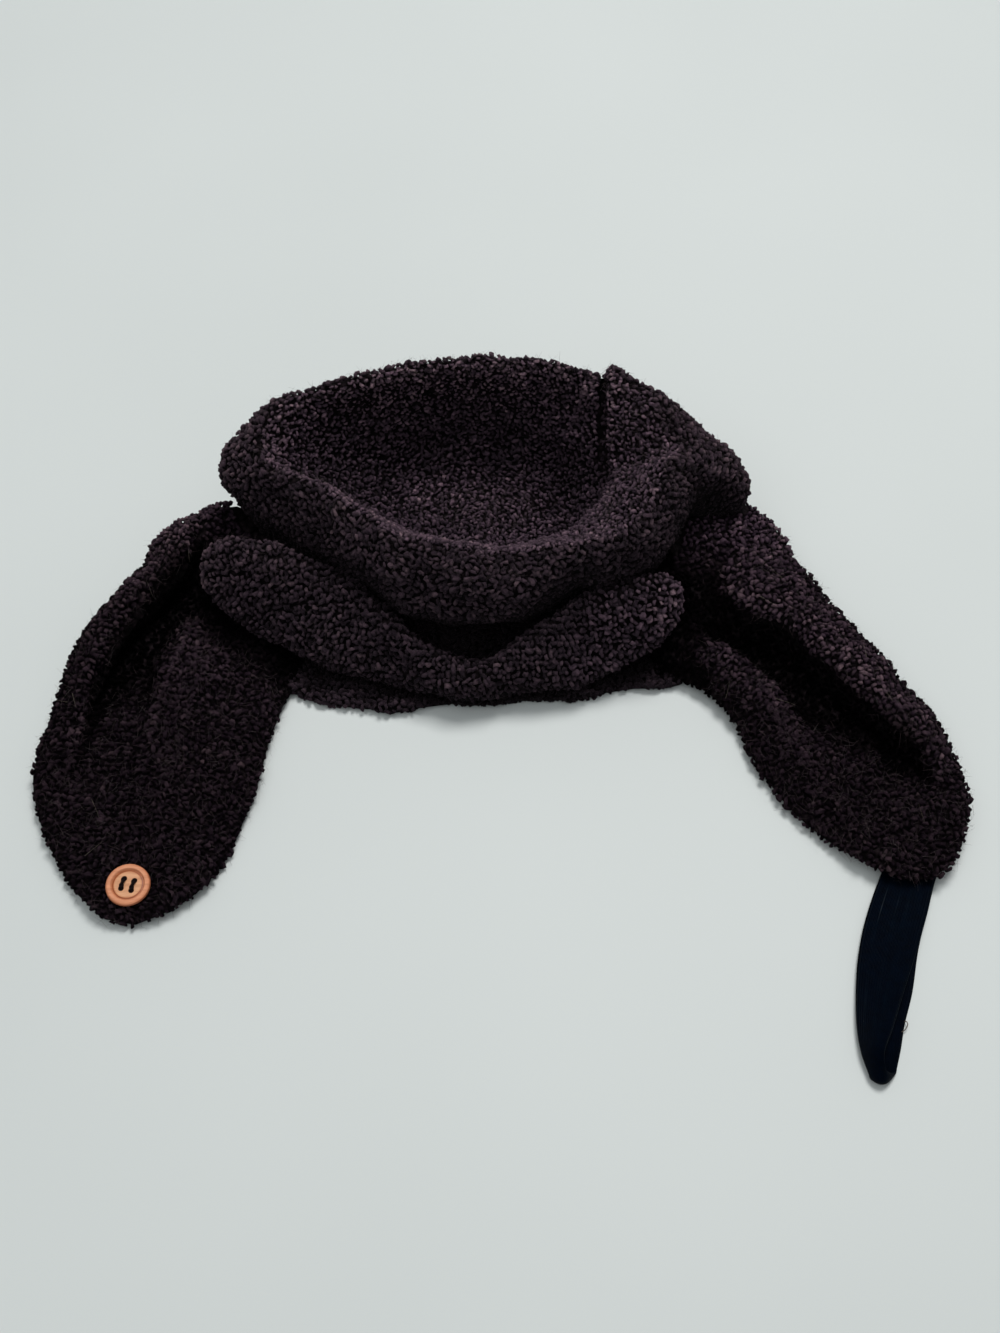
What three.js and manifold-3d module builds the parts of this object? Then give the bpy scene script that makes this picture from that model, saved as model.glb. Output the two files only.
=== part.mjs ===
// Knitted aviator hat, lying crown up on a table with both ear flaps spread to the front.
// Millimetres. +Z is up, -Y is the front, over the forehead, and +X is to the right seen from the front.
import * as THREE from "three";
import { mergeVertices } from "three/addons/utils/BufferGeometryUtils.js";
import Module from "manifold-3d";

const wasm = await Module();
wasm.setup();

// The crown
const BASE_HALF_WIDTH = 115; // of the oval that the crown stands on
const BASE_HALF_DEPTH = 80;
const CROWN_HEIGHT = 90; // of the standing back rim over the table
const BOWL_FLOOR = 34; // height of the sunken crown top over the table
const WALL = 5.5; // of the thick knit
const FOLD_HOLLOW = 2; // least width of the hollow inside the rim's fold
const CREASE_DEPTH = 3.5; // of the dart that runs over the right rim
const CREASE_WIDTH = 6;

// The ear flaps
const FLAP_WALL = 7;
const FLAP_RISE = 26; // of the highest fold over the level at which a flap lies flat
const LEFT_FLAP_LENGTH = 216;
const LEFT_FLAP_HALF_WIDTH = 66;
const RIGHT_FLAP_LENGTH = 216;
const RIGHT_FLAP_HALF_WIDTH = 50;

// The turned-up front brim
const BRIM_THICKNESS = 13;
const BRIM_END_LENGTH = 14; // over which each end rounds off

// The button and its thread
const BUTTON_DIAMETER = 20;
const BUTTON_THICKNESS = 3.2;
const BUTTON_RIM_WIDTH = 3.3;
const BUTTON_DISH = 0.7; // how far the middle lies under the rim
const HOLE_DIAMETER = 2.6;
const HOLE_SPACING = 4.7;
const THREAD_DIAMETER = 1.5;

// The elastic strap, folded into a loop
const STRAP_WIDTH = 25;
const STRAP_THICKNESS = 1.3;
const STRAP_TIP_WIDTH = 14; // where its stitches draw it together
const STRAP_SHOWN = 101; // from the flap's tip to the fold
const STRAP_HIDDEN = 30; // under the flap, where it is sewn on
const STRAP_LOOP_HEIGHT = 8.4; // between the middles of the two layers at the open end
const STRAP_TWIST = 60; // degrees that the open end leans over

const GAP = 0.3; // between pieces that touch

// Around the crown, `at` in degrees from the right side by way of the back. Each pair is a share of the
// base oval's radius and of the crown's height; `floor` and `hem` are shares of the radius alone.
const CROWN_ROWS = [
  { at: 0, floor: 0.36, inner: [0.55, 0.76], crest: [0.71, 0.9], bulge: [0.86, 0.64], tuck: [0.8, 0.34],
    foot: [0.78, 0.12], hem: 0.81 },
  { at: 13, floor: 0.36, inner: [0.56, 0.76], crest: [0.81, 0.87], bulge: [1.11, 0.54], tuck: [1.14, 0.36],
    foot: [0.98, 0.12], hem: 0.94 },
  { at: 30, floor: 0.38, inner: [0.58, 0.82], crest: [0.79, 0.96], bulge: [0.98, 0.67], tuck: [1, 0.3],
    foot: [0.96, 0.12], hem: 0.97 },
  { at: 50, floor: 0.4, inner: [0.56, 0.7], crest: [0.73, 1.01], bulge: [0.86, 0.74], tuck: [0.88, 0.3],
    foot: [0.87, 0.12], hem: 0.88 },
  { at: 90, floor: 0.4, inner: [0.56, 0.62], crest: [0.68, 1], bulge: [0.8, 0.72], tuck: [0.79, 0.3],
    foot: [0.78, 0.12], hem: 0.8 },
  { at: 130, floor: 0.46, inner: [0.63, 0.62], crest: [0.76, 0.96], bulge: [0.87, 0.71], tuck: [0.86, 0.3],
    foot: [0.87, 0.12], hem: 0.88 },
  { at: 155, floor: 0.5, inner: [0.76, 0.62], crest: [0.91, 0.87], bulge: [1.03, 0.67], tuck: [0.99, 0.34],
    foot: [0.95, 0.12], hem: 0.97 },
  { at: 172, floor: 0.48, inner: [0.74, 0.62], crest: [0.92, 0.84], bulge: [1.1, 0.64], tuck: [1.04, 0.36],
    foot: [0.95, 0.12], hem: 0.97 },
  { at: 190, floor: 0.36, inner: [0.52, 0.6], crest: [0.67, 0.82], bulge: [0.87, 0.62], tuck: [0.88, 0.36],
    foot: [0.87, 0.1], hem: 0.98 },
  { at: 210, floor: 0.26, inner: [0.4, 0.58], crest: [0.56, 0.8], bulge: [0.74, 0.6], tuck: [0.76, 0.34],
    foot: [0.77, 0.1], hem: 1.04 },
  { at: 228, floor: 0.24, inner: [0.36, 0.56], crest: [0.53, 0.78], bulge: [0.7, 0.58], tuck: [0.73, 0.32],
    foot: [0.75, 0.08], hem: 1.24 },
  { at: 245, floor: 0.22, inner: [0.34, 0.56], crest: [0.5, 0.77], bulge: [0.7, 0.56], tuck: [0.76, 0.3],
    foot: [0.77, 0.08], hem: 1.2 },
  { at: 265, floor: 0.22, inner: [0.34, 0.56], crest: [0.49, 0.76], bulge: [0.69, 0.56], tuck: [0.77, 0.29],
    foot: [0.77, 0.08], hem: 1.08 },
  { at: 285, floor: 0.22, inner: [0.34, 0.56], crest: [0.51, 0.76], bulge: [0.67, 0.56], tuck: [0.71, 0.3],
    foot: [0.73, 0.08], hem: 1.06 },
  { at: 303, floor: 0.24, inner: [0.38, 0.6], crest: [0.56, 0.78], bulge: [0.68, 0.58], tuck: [0.66, 0.32],
    foot: [0.71, 0.08], hem: 1.14 },
  { at: 313, floor: 0.26, inner: [0.44, 0.64], crest: [0.63, 0.8], bulge: [0.74, 0.6], tuck: [0.7, 0.34],
    foot: [0.71, 0.08], hem: 1.27 },
  { at: 328, floor: 0.3, inner: [0.48, 0.7], crest: [0.7, 0.82], bulge: [0.81, 0.62], tuck: [0.76, 0.34],
    foot: [0.74, 0.1], hem: 0.94 },
  { at: 345, floor: 0.34, inner: [0.52, 0.74], crest: [0.71, 0.87], bulge: [0.82, 0.64], tuck: [0.77, 0.34],
    foot: [0.75, 0.12], hem: 0.8 },
];

// The dart over the right rim, from the bowl to the back, as shares of the base oval's half width and depth
const CREASE = { x: 0.465, from: 0.05, to: 0.64 };

// Along an ear flap from its root, `at` as a share of its length. `outer` and `inner` are shares of its half
// width from its axis. Each pair is a place across, 0 at the outer edge and 1 at the inner one, and a share
// of the flap's rise; `outerUp` and `innerUp` are shares of the rise alone.
const LEFT_FLAP_ROWS = [
  { at: 0, outer: 0.3, inner: 0.5, outerUp: 0.7, roll: [0.2, 0.85], valley: [0.45, 0.78],
    panel: [0.7, 0.7], innerUp: 0.7 },
  { at: 0.1, outer: 0.66, inner: 0.5, outerUp: 0.5, roll: [0.15, 0.85], valley: [0.42, 0.6],
    panel: [0.66, 0.7], innerUp: 0.6 },
  { at: 0.18, outer: 0.74, inner: 0.62, outerUp: 0.4, roll: [0.14, 0.88], valley: [0.36, 0.15],
    panel: [0.58, 0.55], innerUp: 0.35 },
  { at: 0.27, outer: 0.88, inner: 0.72, outerUp: 0.3, roll: [0.14, 0.85], valley: [0.34, 0.05],
    panel: [0.52, 0.58], innerUp: 0 },
  { at: 0.39, outer: 1, inner: 0.6, outerUp: 0.2, roll: [0.12, 0.72], valley: [0.28, 0],
    panel: [0.48, 0.5], innerUp: 0 },
  { at: 0.52, outer: 1.04, inner: 0.55, outerUp: 0.12, roll: [0.11, 0.5], valley: [0.26, 0.05],
    panel: [0.5, 0.3], innerUp: 0 },
  { at: 0.66, outer: 1.02, inner: 0.56, outerUp: 0.1, roll: [0.11, 0.2], valley: [0.28, 0.05],
    panel: [0.52, 0.12], innerUp: 0 },
  { at: 0.74, outer: 0.99, inner: 0.53, outerUp: 0.06, roll: [0.1, 0.08], valley: [0.28, 0.02],
    panel: [0.52, 0.03], innerUp: 0 },
  { at: 0.83, outer: 0.82, inner: 0.48, outerUp: 0, roll: [0.1, 0.02], valley: [0.28, 0],
    panel: [0.52, 0], innerUp: 0 },
  { at: 0.91, outer: 0.6, inner: 0.36, outerUp: 0, roll: [0.1, 0], valley: [0.28, 0],
    panel: [0.52, 0], innerUp: 0 },
  { at: 0.96, outer: 0.42, inner: 0.2, outerUp: 0, roll: [0.1, 0], valley: [0.28, 0],
    panel: [0.52, 0], innerUp: 0 },
  { at: 1, outer: 0.18, inner: 0, outerUp: 0, roll: [0.1, 0], valley: [0.28, 0],
    panel: [0.52, 0], innerUp: 0 },
];

const RIGHT_FLAP_ROWS = [
  { at: 0, outer: 0.82, inner: 0.6, outerUp: 0.7, roll: [0.3, 0.95], valley: [0.6, 0.9],
    panel: [0.85, 0.8], innerUp: 0.8 },
  { at: 0.1, outer: 1, inner: 0.6, outerUp: 0.5, roll: [0.32, 0.98], valley: [0.62, 0.85],
    panel: [0.84, 0.75], innerUp: 0.7 },
  { at: 0.2, outer: 0.99, inner: 0.78, outerUp: 0.4, roll: [0.32, 0.95], valley: [0.66, 0.4],
    panel: [0.8, 0.5], innerUp: 0.3 },
  { at: 0.29, outer: 0.97, inner: 0.84, outerUp: 0.35, roll: [0.3, 0.9], valley: [0.6, 0.08],
    panel: [0.78, 0.5], innerUp: 0 },
  { at: 0.37, outer: 0.96, inner: 0.64, outerUp: 0.32, roll: [0.27, 0.88], valley: [0.57, 0.02],
    panel: [0.8, 0.42], innerUp: 0 },
  { at: 0.46, outer: 0.96, inner: 0.58, outerUp: 0.3, roll: [0.24, 0.85], valley: [0.53, 0],
    panel: [0.78, 0.36], innerUp: 0 },
  { at: 0.56, outer: 0.97, inner: 0.68, outerUp: 0.26, roll: [0.2, 0.8], valley: [0.45, 0],
    panel: [0.72, 0.26], innerUp: 0 },
  { at: 0.66, outer: 1, inner: 0.71, outerUp: 0.22, roll: [0.16, 0.72], valley: [0.37, 0],
    panel: [0.66, 0.16], innerUp: 0 },
  { at: 0.73, outer: 1, inner: 0.69, outerUp: 0.18, roll: [0.13, 0.6], valley: [0.3, 0.02],
    panel: [0.6, 0.1], innerUp: 0 },
  { at: 0.82, outer: 0.93, inner: 0.6, outerUp: 0.15, roll: [0.12, 0.34], valley: [0.28, 0.1],
    panel: [0.56, 0.08], innerUp: 0.04 },
  { at: 0.89, outer: 0.77, inner: 0.48, outerUp: 0.15, roll: [0.12, 0.22], valley: [0.28, 0.14],
    panel: [0.56, 0.13], innerUp: 0.13 },
  { at: 0.94, outer: 0.56, inner: 0.36, outerUp: 0.14, roll: [0.12, 0.16], valley: [0.28, 0.14],
    panel: [0.56, 0.14], innerUp: 0.14 },
  { at: 0.975, outer: 0.36, inner: 0.24, outerUp: 0.14, roll: [0.12, 0.14], valley: [0.28, 0.14],
    panel: [0.56, 0.14], innerUp: 0.14 },
  { at: 1, outer: 0.12, inner: 0.04, outerUp: 0.14, roll: [0.12, 0.14], valley: [0.28, 0.14],
    panel: [0.56, 0.14], innerUp: 0.14 },
];

// Where the flaps' axes start, as shares of the base oval's half width and depth, with the direction in
// degrees that each axis turns away from the front, and how far behind that start the root reaches
const LEFT_FLAP = {
  rows: LEFT_FLAP_ROWS, x: -1.06, y: -0.25, turn: -11, outward: -1, behind: 0.167,
  length: LEFT_FLAP_LENGTH, halfWidth: LEFT_FLAP_HALF_WIDTH,
};
const RIGHT_FLAP = {
  rows: RIGHT_FLAP_ROWS, x: 0.887, y: -0.25, turn: 33, outward: 1, behind: 0.15,
  length: RIGHT_FLAP_LENGTH, halfWidth: RIGHT_FLAP_HALF_WIDTH,
};

// Along the brim, `x` as a share of the base oval's half width; each pair is a share of the half depth and
// of the crown's height
const BRIM_ROWS = [
  { x: -1.17, foot: [-0.52, 0.32], top: [-0.26, 0.56] },
  { x: -1.0, foot: [-0.64, 0.22], top: [-0.28, 0.58] },
  { x: -0.8, foot: [-0.76, 0.14], top: [-0.34, 0.54] },
  { x: -0.55, foot: [-0.9, 0.1], top: [-0.47, 0.48] },
  { x: -0.28, foot: [-1.0, 0.08], top: [-0.76, 0.37] },
  { x: -0.05, foot: [-1.04, 0.08], top: [-0.86, 0.32] },
  { x: 0.15, foot: [-1.01, 0.08], top: [-0.74, 0.37] },
  { x: 0.38, foot: [-0.95, 0.1], top: [-0.58, 0.46] },
  { x: 0.6, foot: [-0.84, 0.16], top: [-0.5, 0.52] },
  { x: 0.8, foot: [-0.68, 0.26], top: [-0.47, 0.52] },
];

// The button's place on the left flap: a share of its length, and a place across it
const BUTTON_PLACE = { along: 0.915, across: 0.53 };
const BUTTON_TURN = -12; // degrees

// Where the strap leaves the edge of the right flap, in the same way, and its direction there and at its end
const STRAP_PLACE = { along: 0.955, across: 0.82 };
const STRAP_TURN = { from: -27, to: -9 }; // degrees away from the front

const ROUND_STEPS = 72; // faces around the crown
const OUTER_STEPS = 22; // and over its outer and inner surfaces
const INNER_STEPS = 13;
const CENTRE = new THREE.Vector2(-6, 100);

const degrees = THREE.MathUtils.degToRad;
const clamp = THREE.MathUtils.clamp;

// A smooth curve through what `read` takes from each row of a table, at any place along it. Where `period`
// is given, the table closes on itself.
function follow(rows, read, period = 0) {
  const knots = rows.map((row) => ({ x: row.at, y: read(row) }));
  if (period) {
    knots.unshift(...knots.slice(-2).map((knot) => ({ x: knot.x - period, y: knot.y })));
    knots.push(...knots.slice(2, 4).map((knot) => ({ x: knot.x + period, y: knot.y })));
  }
  const slope = (i) => {
    const before = knots[Math.max(i - 1, 0)];
    const after = knots[Math.min(i + 1, knots.length - 1)];
    return (after.y - before.y) / (after.x - before.x);
  };
  return (x) => {
    let i = 0;
    while (i < knots.length - 2 && x > knots[i + 1].x) i += 1;
    const span = knots[i + 1].x - knots[i].x;
    const t = clamp((x - knots[i].x) / span, 0, 1);
    const ends = knots[i].y * (1 + 2 * t) * (1 - t) ** 2 + knots[i + 1].y * t * t * (3 - 2 * t);
    return ends + span * (slope(i) * t * (1 - t) ** 2 + slope(i + 1) * t * t * (t - 1));
  };
}

// One closed body through rings of equally many points. The first and last rings are closed by joining
// the points that face each other, and rings drawn together in a point need no closing.
function loft(rings) {
  const size = rings[0].length;
  const points = rings.flat();
  const index = [];
  for (let ring = 0; ring < rings.length - 1; ring += 1) {
    for (let i = 0; i < size; i += 1) {
      const a = ring * size + i;
      const b = ring * size + ((i + 1) % size);
      index.push(a, b, b + size, a, b + size, a + size);
    }
  }
  const cap = (start, flip) => {
    for (let i = 0; i < size / 2; i += 1) {
      const a = start + i;
      const b = start + i + 1;
      const c = start + ((size - i - 1) % size);
      const d = start + ((size - i) % size);
      index.push(...(flip ? [a, c, b, a, d, c] : [a, b, c, a, c, d]));
    }
  };
  cap(0, true);
  cap((rings.length - 1) * size, false);
  return faceOutward(weld(points, index));
}

// Joins equal points and leaves out the triangles that this makes empty.
function weld(points, index) {
  const loose = new THREE.BufferGeometry().setFromPoints(points);
  loose.setIndex(index);
  const joined = mergeVertices(loose, 1e-3);
  const kept = [];
  const corners = joined.index.array;
  for (let i = 0; i < corners.length; i += 3) {
    const [a, b, c] = corners.slice(i, i + 3);
    if (a !== b && b !== c && c !== a) kept.push(a, b, c);
  }
  joined.setIndex(kept);
  return joined;
}

// Turns the faces of a closed body outward: its volume, summed over the triangles, is then positive.
function faceOutward(geometry) {
  const place = geometry.attributes.position;
  const corners = geometry.index.array;
  const corner = (i) => new THREE.Vector3().fromBufferAttribute(place, corners[i]);
  let volume = 0;
  for (let i = 0; i < corners.length; i += 3) {
    volume += corner(i).dot(corner(i + 1).cross(corner(i + 2)));
  }
  if (volume < 0) geometry.setIndex(Array.from(corners).reverse());
  return geometry;
}

function solid(geometry) {
  return new wasm.Manifold(new wasm.Mesh({
    numProp: 3,
    vertProperties: Float32Array.from(geometry.attributes.position.array),
    triVerts: Uint32Array.from(geometry.index.array),
  }));
}

function surface(manifold) {
  const { vertProperties, triVerts } = manifold.getMesh();
  const geometry = new THREE.BufferGeometry();
  geometry.setAttribute("position", new THREE.Float32BufferAttribute(vertProperties, 3));
  geometry.setIndex(Array.from(triVerts));
  return geometry;
}

// The unit normal at each point of a grid whose rows close on themselves or end, from its neighbours.
function normals(grid, closed) {
  return grid.map((row, i) => row.map((_, j) => {
    const before = grid[Math.max(i - 1, 0)];
    const after = grid[Math.min(i + 1, grid.length - 1)];
    const along = after[j].clone().sub(before[j]);
    const last = row.length - 1;
    const left = closed ? row[(j + last) % row.length] : row[Math.max(j - 1, 0)];
    const right = closed ? row[(j + 1) % row.length] : row[Math.min(j + 1, last)];
    return along.cross(right.clone().sub(left)).normalize();
  }));
}

function baseOval(angle, share) {
  return new THREE.Vector2(
    CENTRE.x + BASE_HALF_WIDTH * share * Math.cos(angle),
    CENTRE.y + BASE_HALF_DEPTH * share * Math.sin(angle),
  );
}

// The crown as rings, from the middle of the bowl over the rim and down to the hem: its outer surface, or
// with a wall, the surface that lies inside it by that wall. A smooth profile in each direction runs
// through the places that the table gives.
function crownRings(steps, wall = 0) {
  const read = (pick) => follow(CROWN_ROWS, pick, 360);
  const floor = read((row) => row.floor);
  const hem = read((row) => row.hem);
  const [inner, crest, bulge, tuck, foot] = ["inner", "crest", "bulge", "tuck", "foot"]
    .map((name) => ({ out: read((row) => row[name][0]), up: read((row) => row[name][1]) }));
  const columns = [];
  for (let i = 0; i < ROUND_STEPS; i += 1) {
    const at = (360 * i) / ROUND_STEPS;
    const reach = baseOval(degrees(at), 1).distanceTo(CENTRE);
    const place = (pair, outward, upward) => new THREE.Vector3(
      reach * pair.out(at) + outward, CROWN_HEIGHT * pair.up(at) + upward, 0,
    );
    const bowlSide = Math.min(wall, (reach * (bulge.out(at) - inner.out(at)) - FOLD_HOLLOW) / 2);
    const knots = [
      new THREE.Vector3(0, BOWL_FLOOR - wall, 0),
      new THREE.Vector3(reach * floor(at), BOWL_FLOOR + 2 - wall, 0),
      place(inner, bowlSide, -wall / 2),
      place(crest, 0, -1.8 * wall),
      place(bulge, -wall, -wall / 2),
      place(tuck, -wall, 0),
      place(foot, -0.8 * wall, -1.4 * wall),
      new THREE.Vector3(reach * hem(at) - 0.1 * wall, 0.9 * (WALL - wall), 0),
    ];
    const profile = new THREE.CatmullRomCurve3(knots, false, "centripetal");
    columns.push(profile.getPoints(steps).map((knot) => {
      const plan = baseOval(degrees(at), knot.x / reach);
      return new THREE.Vector3(plan.x, plan.y, Math.max(knot.y, 0));
    }));
  }
  return Array.from({ length: steps + 1 }, (_, ring) => columns.map((column) => column[ring]));
}

// How far the dart sinks the surface at a place: a groove across x that fades at both ends.
function creaseDepth(point) {
  const x = (point.x - CENTRE.x) - CREASE.x * BASE_HALF_WIDTH;
  const y = (point.y - CENTRE.y) / BASE_HALF_DEPTH;
  const fade = THREE.MathUtils.smoothstep(y, CREASE.from, CREASE.from + 0.15)
    * (1 - THREE.MathUtils.smoothstep(y, CREASE.to, CREASE.to + 0.1));
  return CREASE_DEPTH * fade * Math.exp(-((2 * x / CREASE_WIDTH) ** 2));
}

// The rings moved along their normals; a negative distance goes into the knit.
function moved(rings, distance) {
  const outward = normals(rings, true);
  return rings.map((ring, i) => ring.map((point, j) => {
    const amount = typeof distance === "function" ? distance(point) : distance;
    const direction = i === 0 ? new THREE.Vector3(0, 0, 1) : outward[i][j];
    return point.clone().addScaledVector(direction, amount);
  }));
}

function crown() {
  const outer = moved(crownRings(OUTER_STEPS), (point) => -creaseDepth(point));
  const inner = crownRings(INNER_STEPS, WALL);
  const hem = outer.at(-1).map((point, i) => {
    const middle = point.clone().add(inner.at(-1)[i]).multiplyScalar(0.5);
    const out = new THREE.Vector3(middle.x - CENTRE.x, middle.y - CENTRE.y, 0).normalize();
    return middle.addScaledVector(out, WALL / 4);
  });
  return solid(loft([...outer, hem, ...inner.reverse()]));
}

// The whole space that the crown takes, its hollow too, with a gap around it.
function crownSpace() {
  const rings = moved(crownRings(OUTER_STEPS), GAP);
  const edge = hemOutline(GAP + WALL / 4);
  const below = edge.map((point) => new THREE.Vector3(point.x, point.y, -WALL));
  const middle = edge.map((point) => new THREE.Vector3(point.x, point.y, WALL / 2));
  return solid(loft([...rings, middle, below]));
}

// The line along which the hem meets the table, moved outward.
function hemOutline(distance) {
  return crownRings(OUTER_STEPS).at(-1).map((point) => {
    const out = new THREE.Vector3(point.x - CENTRE.x, point.y - CENTRE.y, 0);
    return point.clone().addScaledVector(out.normalize(), distance);
  });
}

// The low space inside the hem's outline: a flap that lies flat stops short of it.
function hemPrism() {
  const edge = hemOutline(GAP + WALL / 4);
  const level = (z) => edge.map((point) => new THREE.Vector3(point.x, point.y, z));
  return solid(loft([level(-WALL), level(1.5 * WALL)]));
}

// The middle surface of a flap at a share of its length and a place across it.
function flapSurface(flap) {
  const read = (pick) => follow(flap.rows, pick);
  const [outer, inner] = [read((row) => row.outer), read((row) => row.inner)];
  const folds = ["roll", "valley", "panel"];
  const places = folds.map((name) => read((row) => row[name][0]));
  const rises = folds.map((name) => read((row) => row[name][1]));
  const [outerUp, innerUp] = [read((row) => row.outerUp), read((row) => row.innerUp)];
  const turn = degrees(flap.turn);
  const start = new THREE.Vector2(CENTRE.x + flap.x * BASE_HALF_WIDTH, CENTRE.y + flap.y * BASE_HALF_DEPTH);
  return (share, across) => {
    const rows = [{ at: 0, up: outerUp(share) }];
    folds.forEach((_, i) => rows.push({ at: places[i](share), up: rises[i](share) }));
    rows.push({ at: 1, up: innerUp(share) });
    const rise = Math.max(0, follow(rows, (row) => row.up)(across));
    const along = (share - flap.behind) * flap.length;
    const edge = THREE.MathUtils.lerp(outer(share), -inner(share), across);
    const side = flap.outward * flap.halfWidth * edge;
    return new THREE.Vector3(
      start.x + Math.sin(turn) * along + Math.cos(turn) * side,
      start.y - Math.cos(turn) * along + Math.sin(turn) * side,
      FLAP_WALL / 2 + FLAP_RISE * rise,
    );
  };
}

const ALONG_STEPS = 32;
const ACROSS_STEPS = 13;

// A flap is a thick sheet about its middle surface, thinned to a round edge all the way along.
function flapSolid(flap, extra = 0) {
  const middle = flapSurface(flap);
  const shares = Array.from({ length: ALONG_STEPS + 1 }, (_, i) => 1 - (1 - i / ALONG_STEPS) ** 1.25);
  const places = Array.from({ length: ACROSS_STEPS + 1 }, (_, j) => j / ACROSS_STEPS);
  const grid = shares.map((share) => places.map((across) => middle(share, across)));
  const up = normals(grid, false);
  const rings = grid.map((row, i) => {
    const side = (sign) => row.map((point, j) => {
      const edge = Math.sqrt(1 - Math.abs(2 * places[j] - 1) ** 6) * Math.sqrt(1 - shares[i] ** 24);
      const half = (sign * up[i][j].z > 0 ? 1 : -1) * (edge * FLAP_WALL / 2 + extra);
      const skin = point.clone().addScaledVector(up[i][j], half);
      return skin.setZ(Math.max(skin.z, -extra));
    });
    const [top, bottom] = [side(1), side(-1)];
    return [...top, ...bottom.slice(1, -1).reverse()];
  });
  return solid(loft(rings));
}

// The brim is a puffed double layer: a rounded section that leans from its foot to its top.
function brimSolid() {
  const rows = BRIM_ROWS.map((row) => ({ ...row, at: row.x }));
  const read = (pick) => follow(rows, pick);
  const [footY, footUp] = [read((row) => row.foot[0]), read((row) => row.foot[1])];
  const [topY, topUp] = [read((row) => row.top[0]), read((row) => row.top[1])];
  const from = rows[0].at;
  const to = rows.at(-1).at;
  const steps = 44;
  const sides = 14;
  const rings = [];
  for (let i = 0; i <= steps; i += 1) {
    const t = (1 - Math.cos((Math.PI * i) / steps)) / 2;
    const x = THREE.MathUtils.lerp(from, to, t);
    const foot = new THREE.Vector3(x * BASE_HALF_WIDTH, footY(x) * BASE_HALF_DEPTH, footUp(x) * CROWN_HEIGHT);
    const top = new THREE.Vector3(x * BASE_HALF_WIDTH, topY(x) * BASE_HALF_DEPTH, topUp(x) * CROWN_HEIGHT);
    const toEnd = Math.min(x - from, to - x) * BASE_HALF_WIDTH;
    const round = Math.sqrt(1 - (1 - clamp(toEnd / BRIM_END_LENGTH, 0, 1)) ** 2);
    const middle = foot.clone().add(top).multiplyScalar(0.5);
    const lean = top.clone().sub(foot).multiplyScalar(0.5 * round);
    const face = new THREE.Vector3(0, -lean.z, lean.y).setLength(0.5 * BRIM_THICKNESS * round);
    rings.push(Array.from({ length: sides }, (_, k) => {
      const turn = (2 * Math.PI * k) / sides;
      const [c, s] = [Math.cos(turn), Math.sin(turn)];
      return middle.clone()
        .addScaledVector(lean, Math.sign(c) * Math.abs(c) ** 0.7)
        .addScaledVector(face, Math.sign(s) * Math.abs(s) ** 0.8)
        .add(new THREE.Vector3(CENTRE.x, CENTRE.y, 0));
    }));
  }
  return solid(loft(rings));
}

// The strap lies along a line that turns little by little to the front, and leans over towards its fold.
// At a length from its sewn end this gives the middle between its two layers, the half of its width and the
// direction square to the layers, with half the distance between them.
function strapFrame() {
  const length = STRAP_SHOWN + STRAP_HIDDEN;
  const heading = (s) => degrees(THREE.MathUtils.lerp(STRAP_TURN.from, STRAP_TURN.to, s / length));
  const steps = 40;
  const line = [new THREE.Vector2(0, 0)];
  for (let i = 1; i <= steps; i += 1) {
    const turn = heading((length * (i - 0.5)) / steps);
    const step = new THREE.Vector2(Math.sin(turn), -Math.cos(turn)).multiplyScalar(length / steps);
    line.push(line.at(-1).clone().add(step));
  }
  const at = (s) => {
    const i = Math.min(Math.floor((s / length) * steps), steps - 1);
    return line[i].clone().lerp(line[i + 1], (s / length) * steps - i);
  };
  const tip = flapSurface(RIGHT_FLAP)(STRAP_PLACE.along, STRAP_PLACE.across);
  const origin = new THREE.Vector2(tip.x, tip.y).sub(at(STRAP_HIDDEN));
  const blend = (s, from, to, start, end) => THREE.MathUtils.lerp(
    from, to, THREE.MathUtils.smoothstep(s / length, start, end),
  );
  return (s) => {
    const turn = heading(s);
    const half = blend(s, (STRAP_THICKNESS + GAP) / 2, STRAP_LOOP_HEIGHT / 2, 0.5, 0.9);
    const reach = blend(s, STRAP_WIDTH / 2, STRAP_TIP_WIDTH / 2, 0.6, 0.95);
    const twist = degrees(blend(s, 0, STRAP_TWIST, 0.5, 0.95));
    const side = new THREE.Vector3(Math.cos(turn), Math.sin(turn), 0);
    const width = side.clone().multiplyScalar(Math.cos(twist)).setZ(Math.sin(twist)).multiplyScalar(reach);
    const upward = side.clone().multiplyScalar(-Math.sin(twist)).setZ(Math.cos(twist));
    const lift = (half + STRAP_THICKNESS / 2) * Math.cos(twist) + reach * Math.sin(twist);
    const plan = at(s).add(origin);
    return { middle: new THREE.Vector3(plan.x, plan.y, lift), width, upward, half };
  };
}

// The tape goes out along the table, round the fold and back on top of itself.
function strapSolid() {
  const frameAt = strapFrame();
  const end = STRAP_SHOWN + STRAP_HIDDEN - STRAP_LOOP_HEIGHT / 2;
  const rings = [];
  const addRing = (middle, width, outward) => {
    const corner = (a, b) => middle.clone()
      .addScaledVector(width, a).addScaledVector(outward, (b * STRAP_THICKNESS) / 2);
    rings.push([corner(-1, -1), corner(-1, 1), corner(1, 1), corner(1, -1)]);
  };
  const addLayer = (side, places) => places.forEach((place) => {
    const { middle, width, upward, half } = frameAt(end * place);
    addRing(middle.addScaledVector(upward, side * half), width, upward.multiplyScalar(side));
  });
  const places = Array.from({ length: 31 }, (_, i) => i / 30);
  addLayer(-1, places);
  const { middle, width, upward, half } = frameAt(end);
  const ahead = width.clone().normalize().cross(upward).negate();
  for (const degree of [22.5, 45, 67.5, 90, 112.5, 135, 157.5]) {
    const turn = degrees(degree);
    const outward = ahead.clone().multiplyScalar(Math.sin(turn)).addScaledVector(upward, -Math.cos(turn));
    addRing(middle.clone().addScaledVector(outward, half), width, outward);
  }
  addLayer(1, places.reverse());
  return solid(loft(rings));
}

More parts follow.
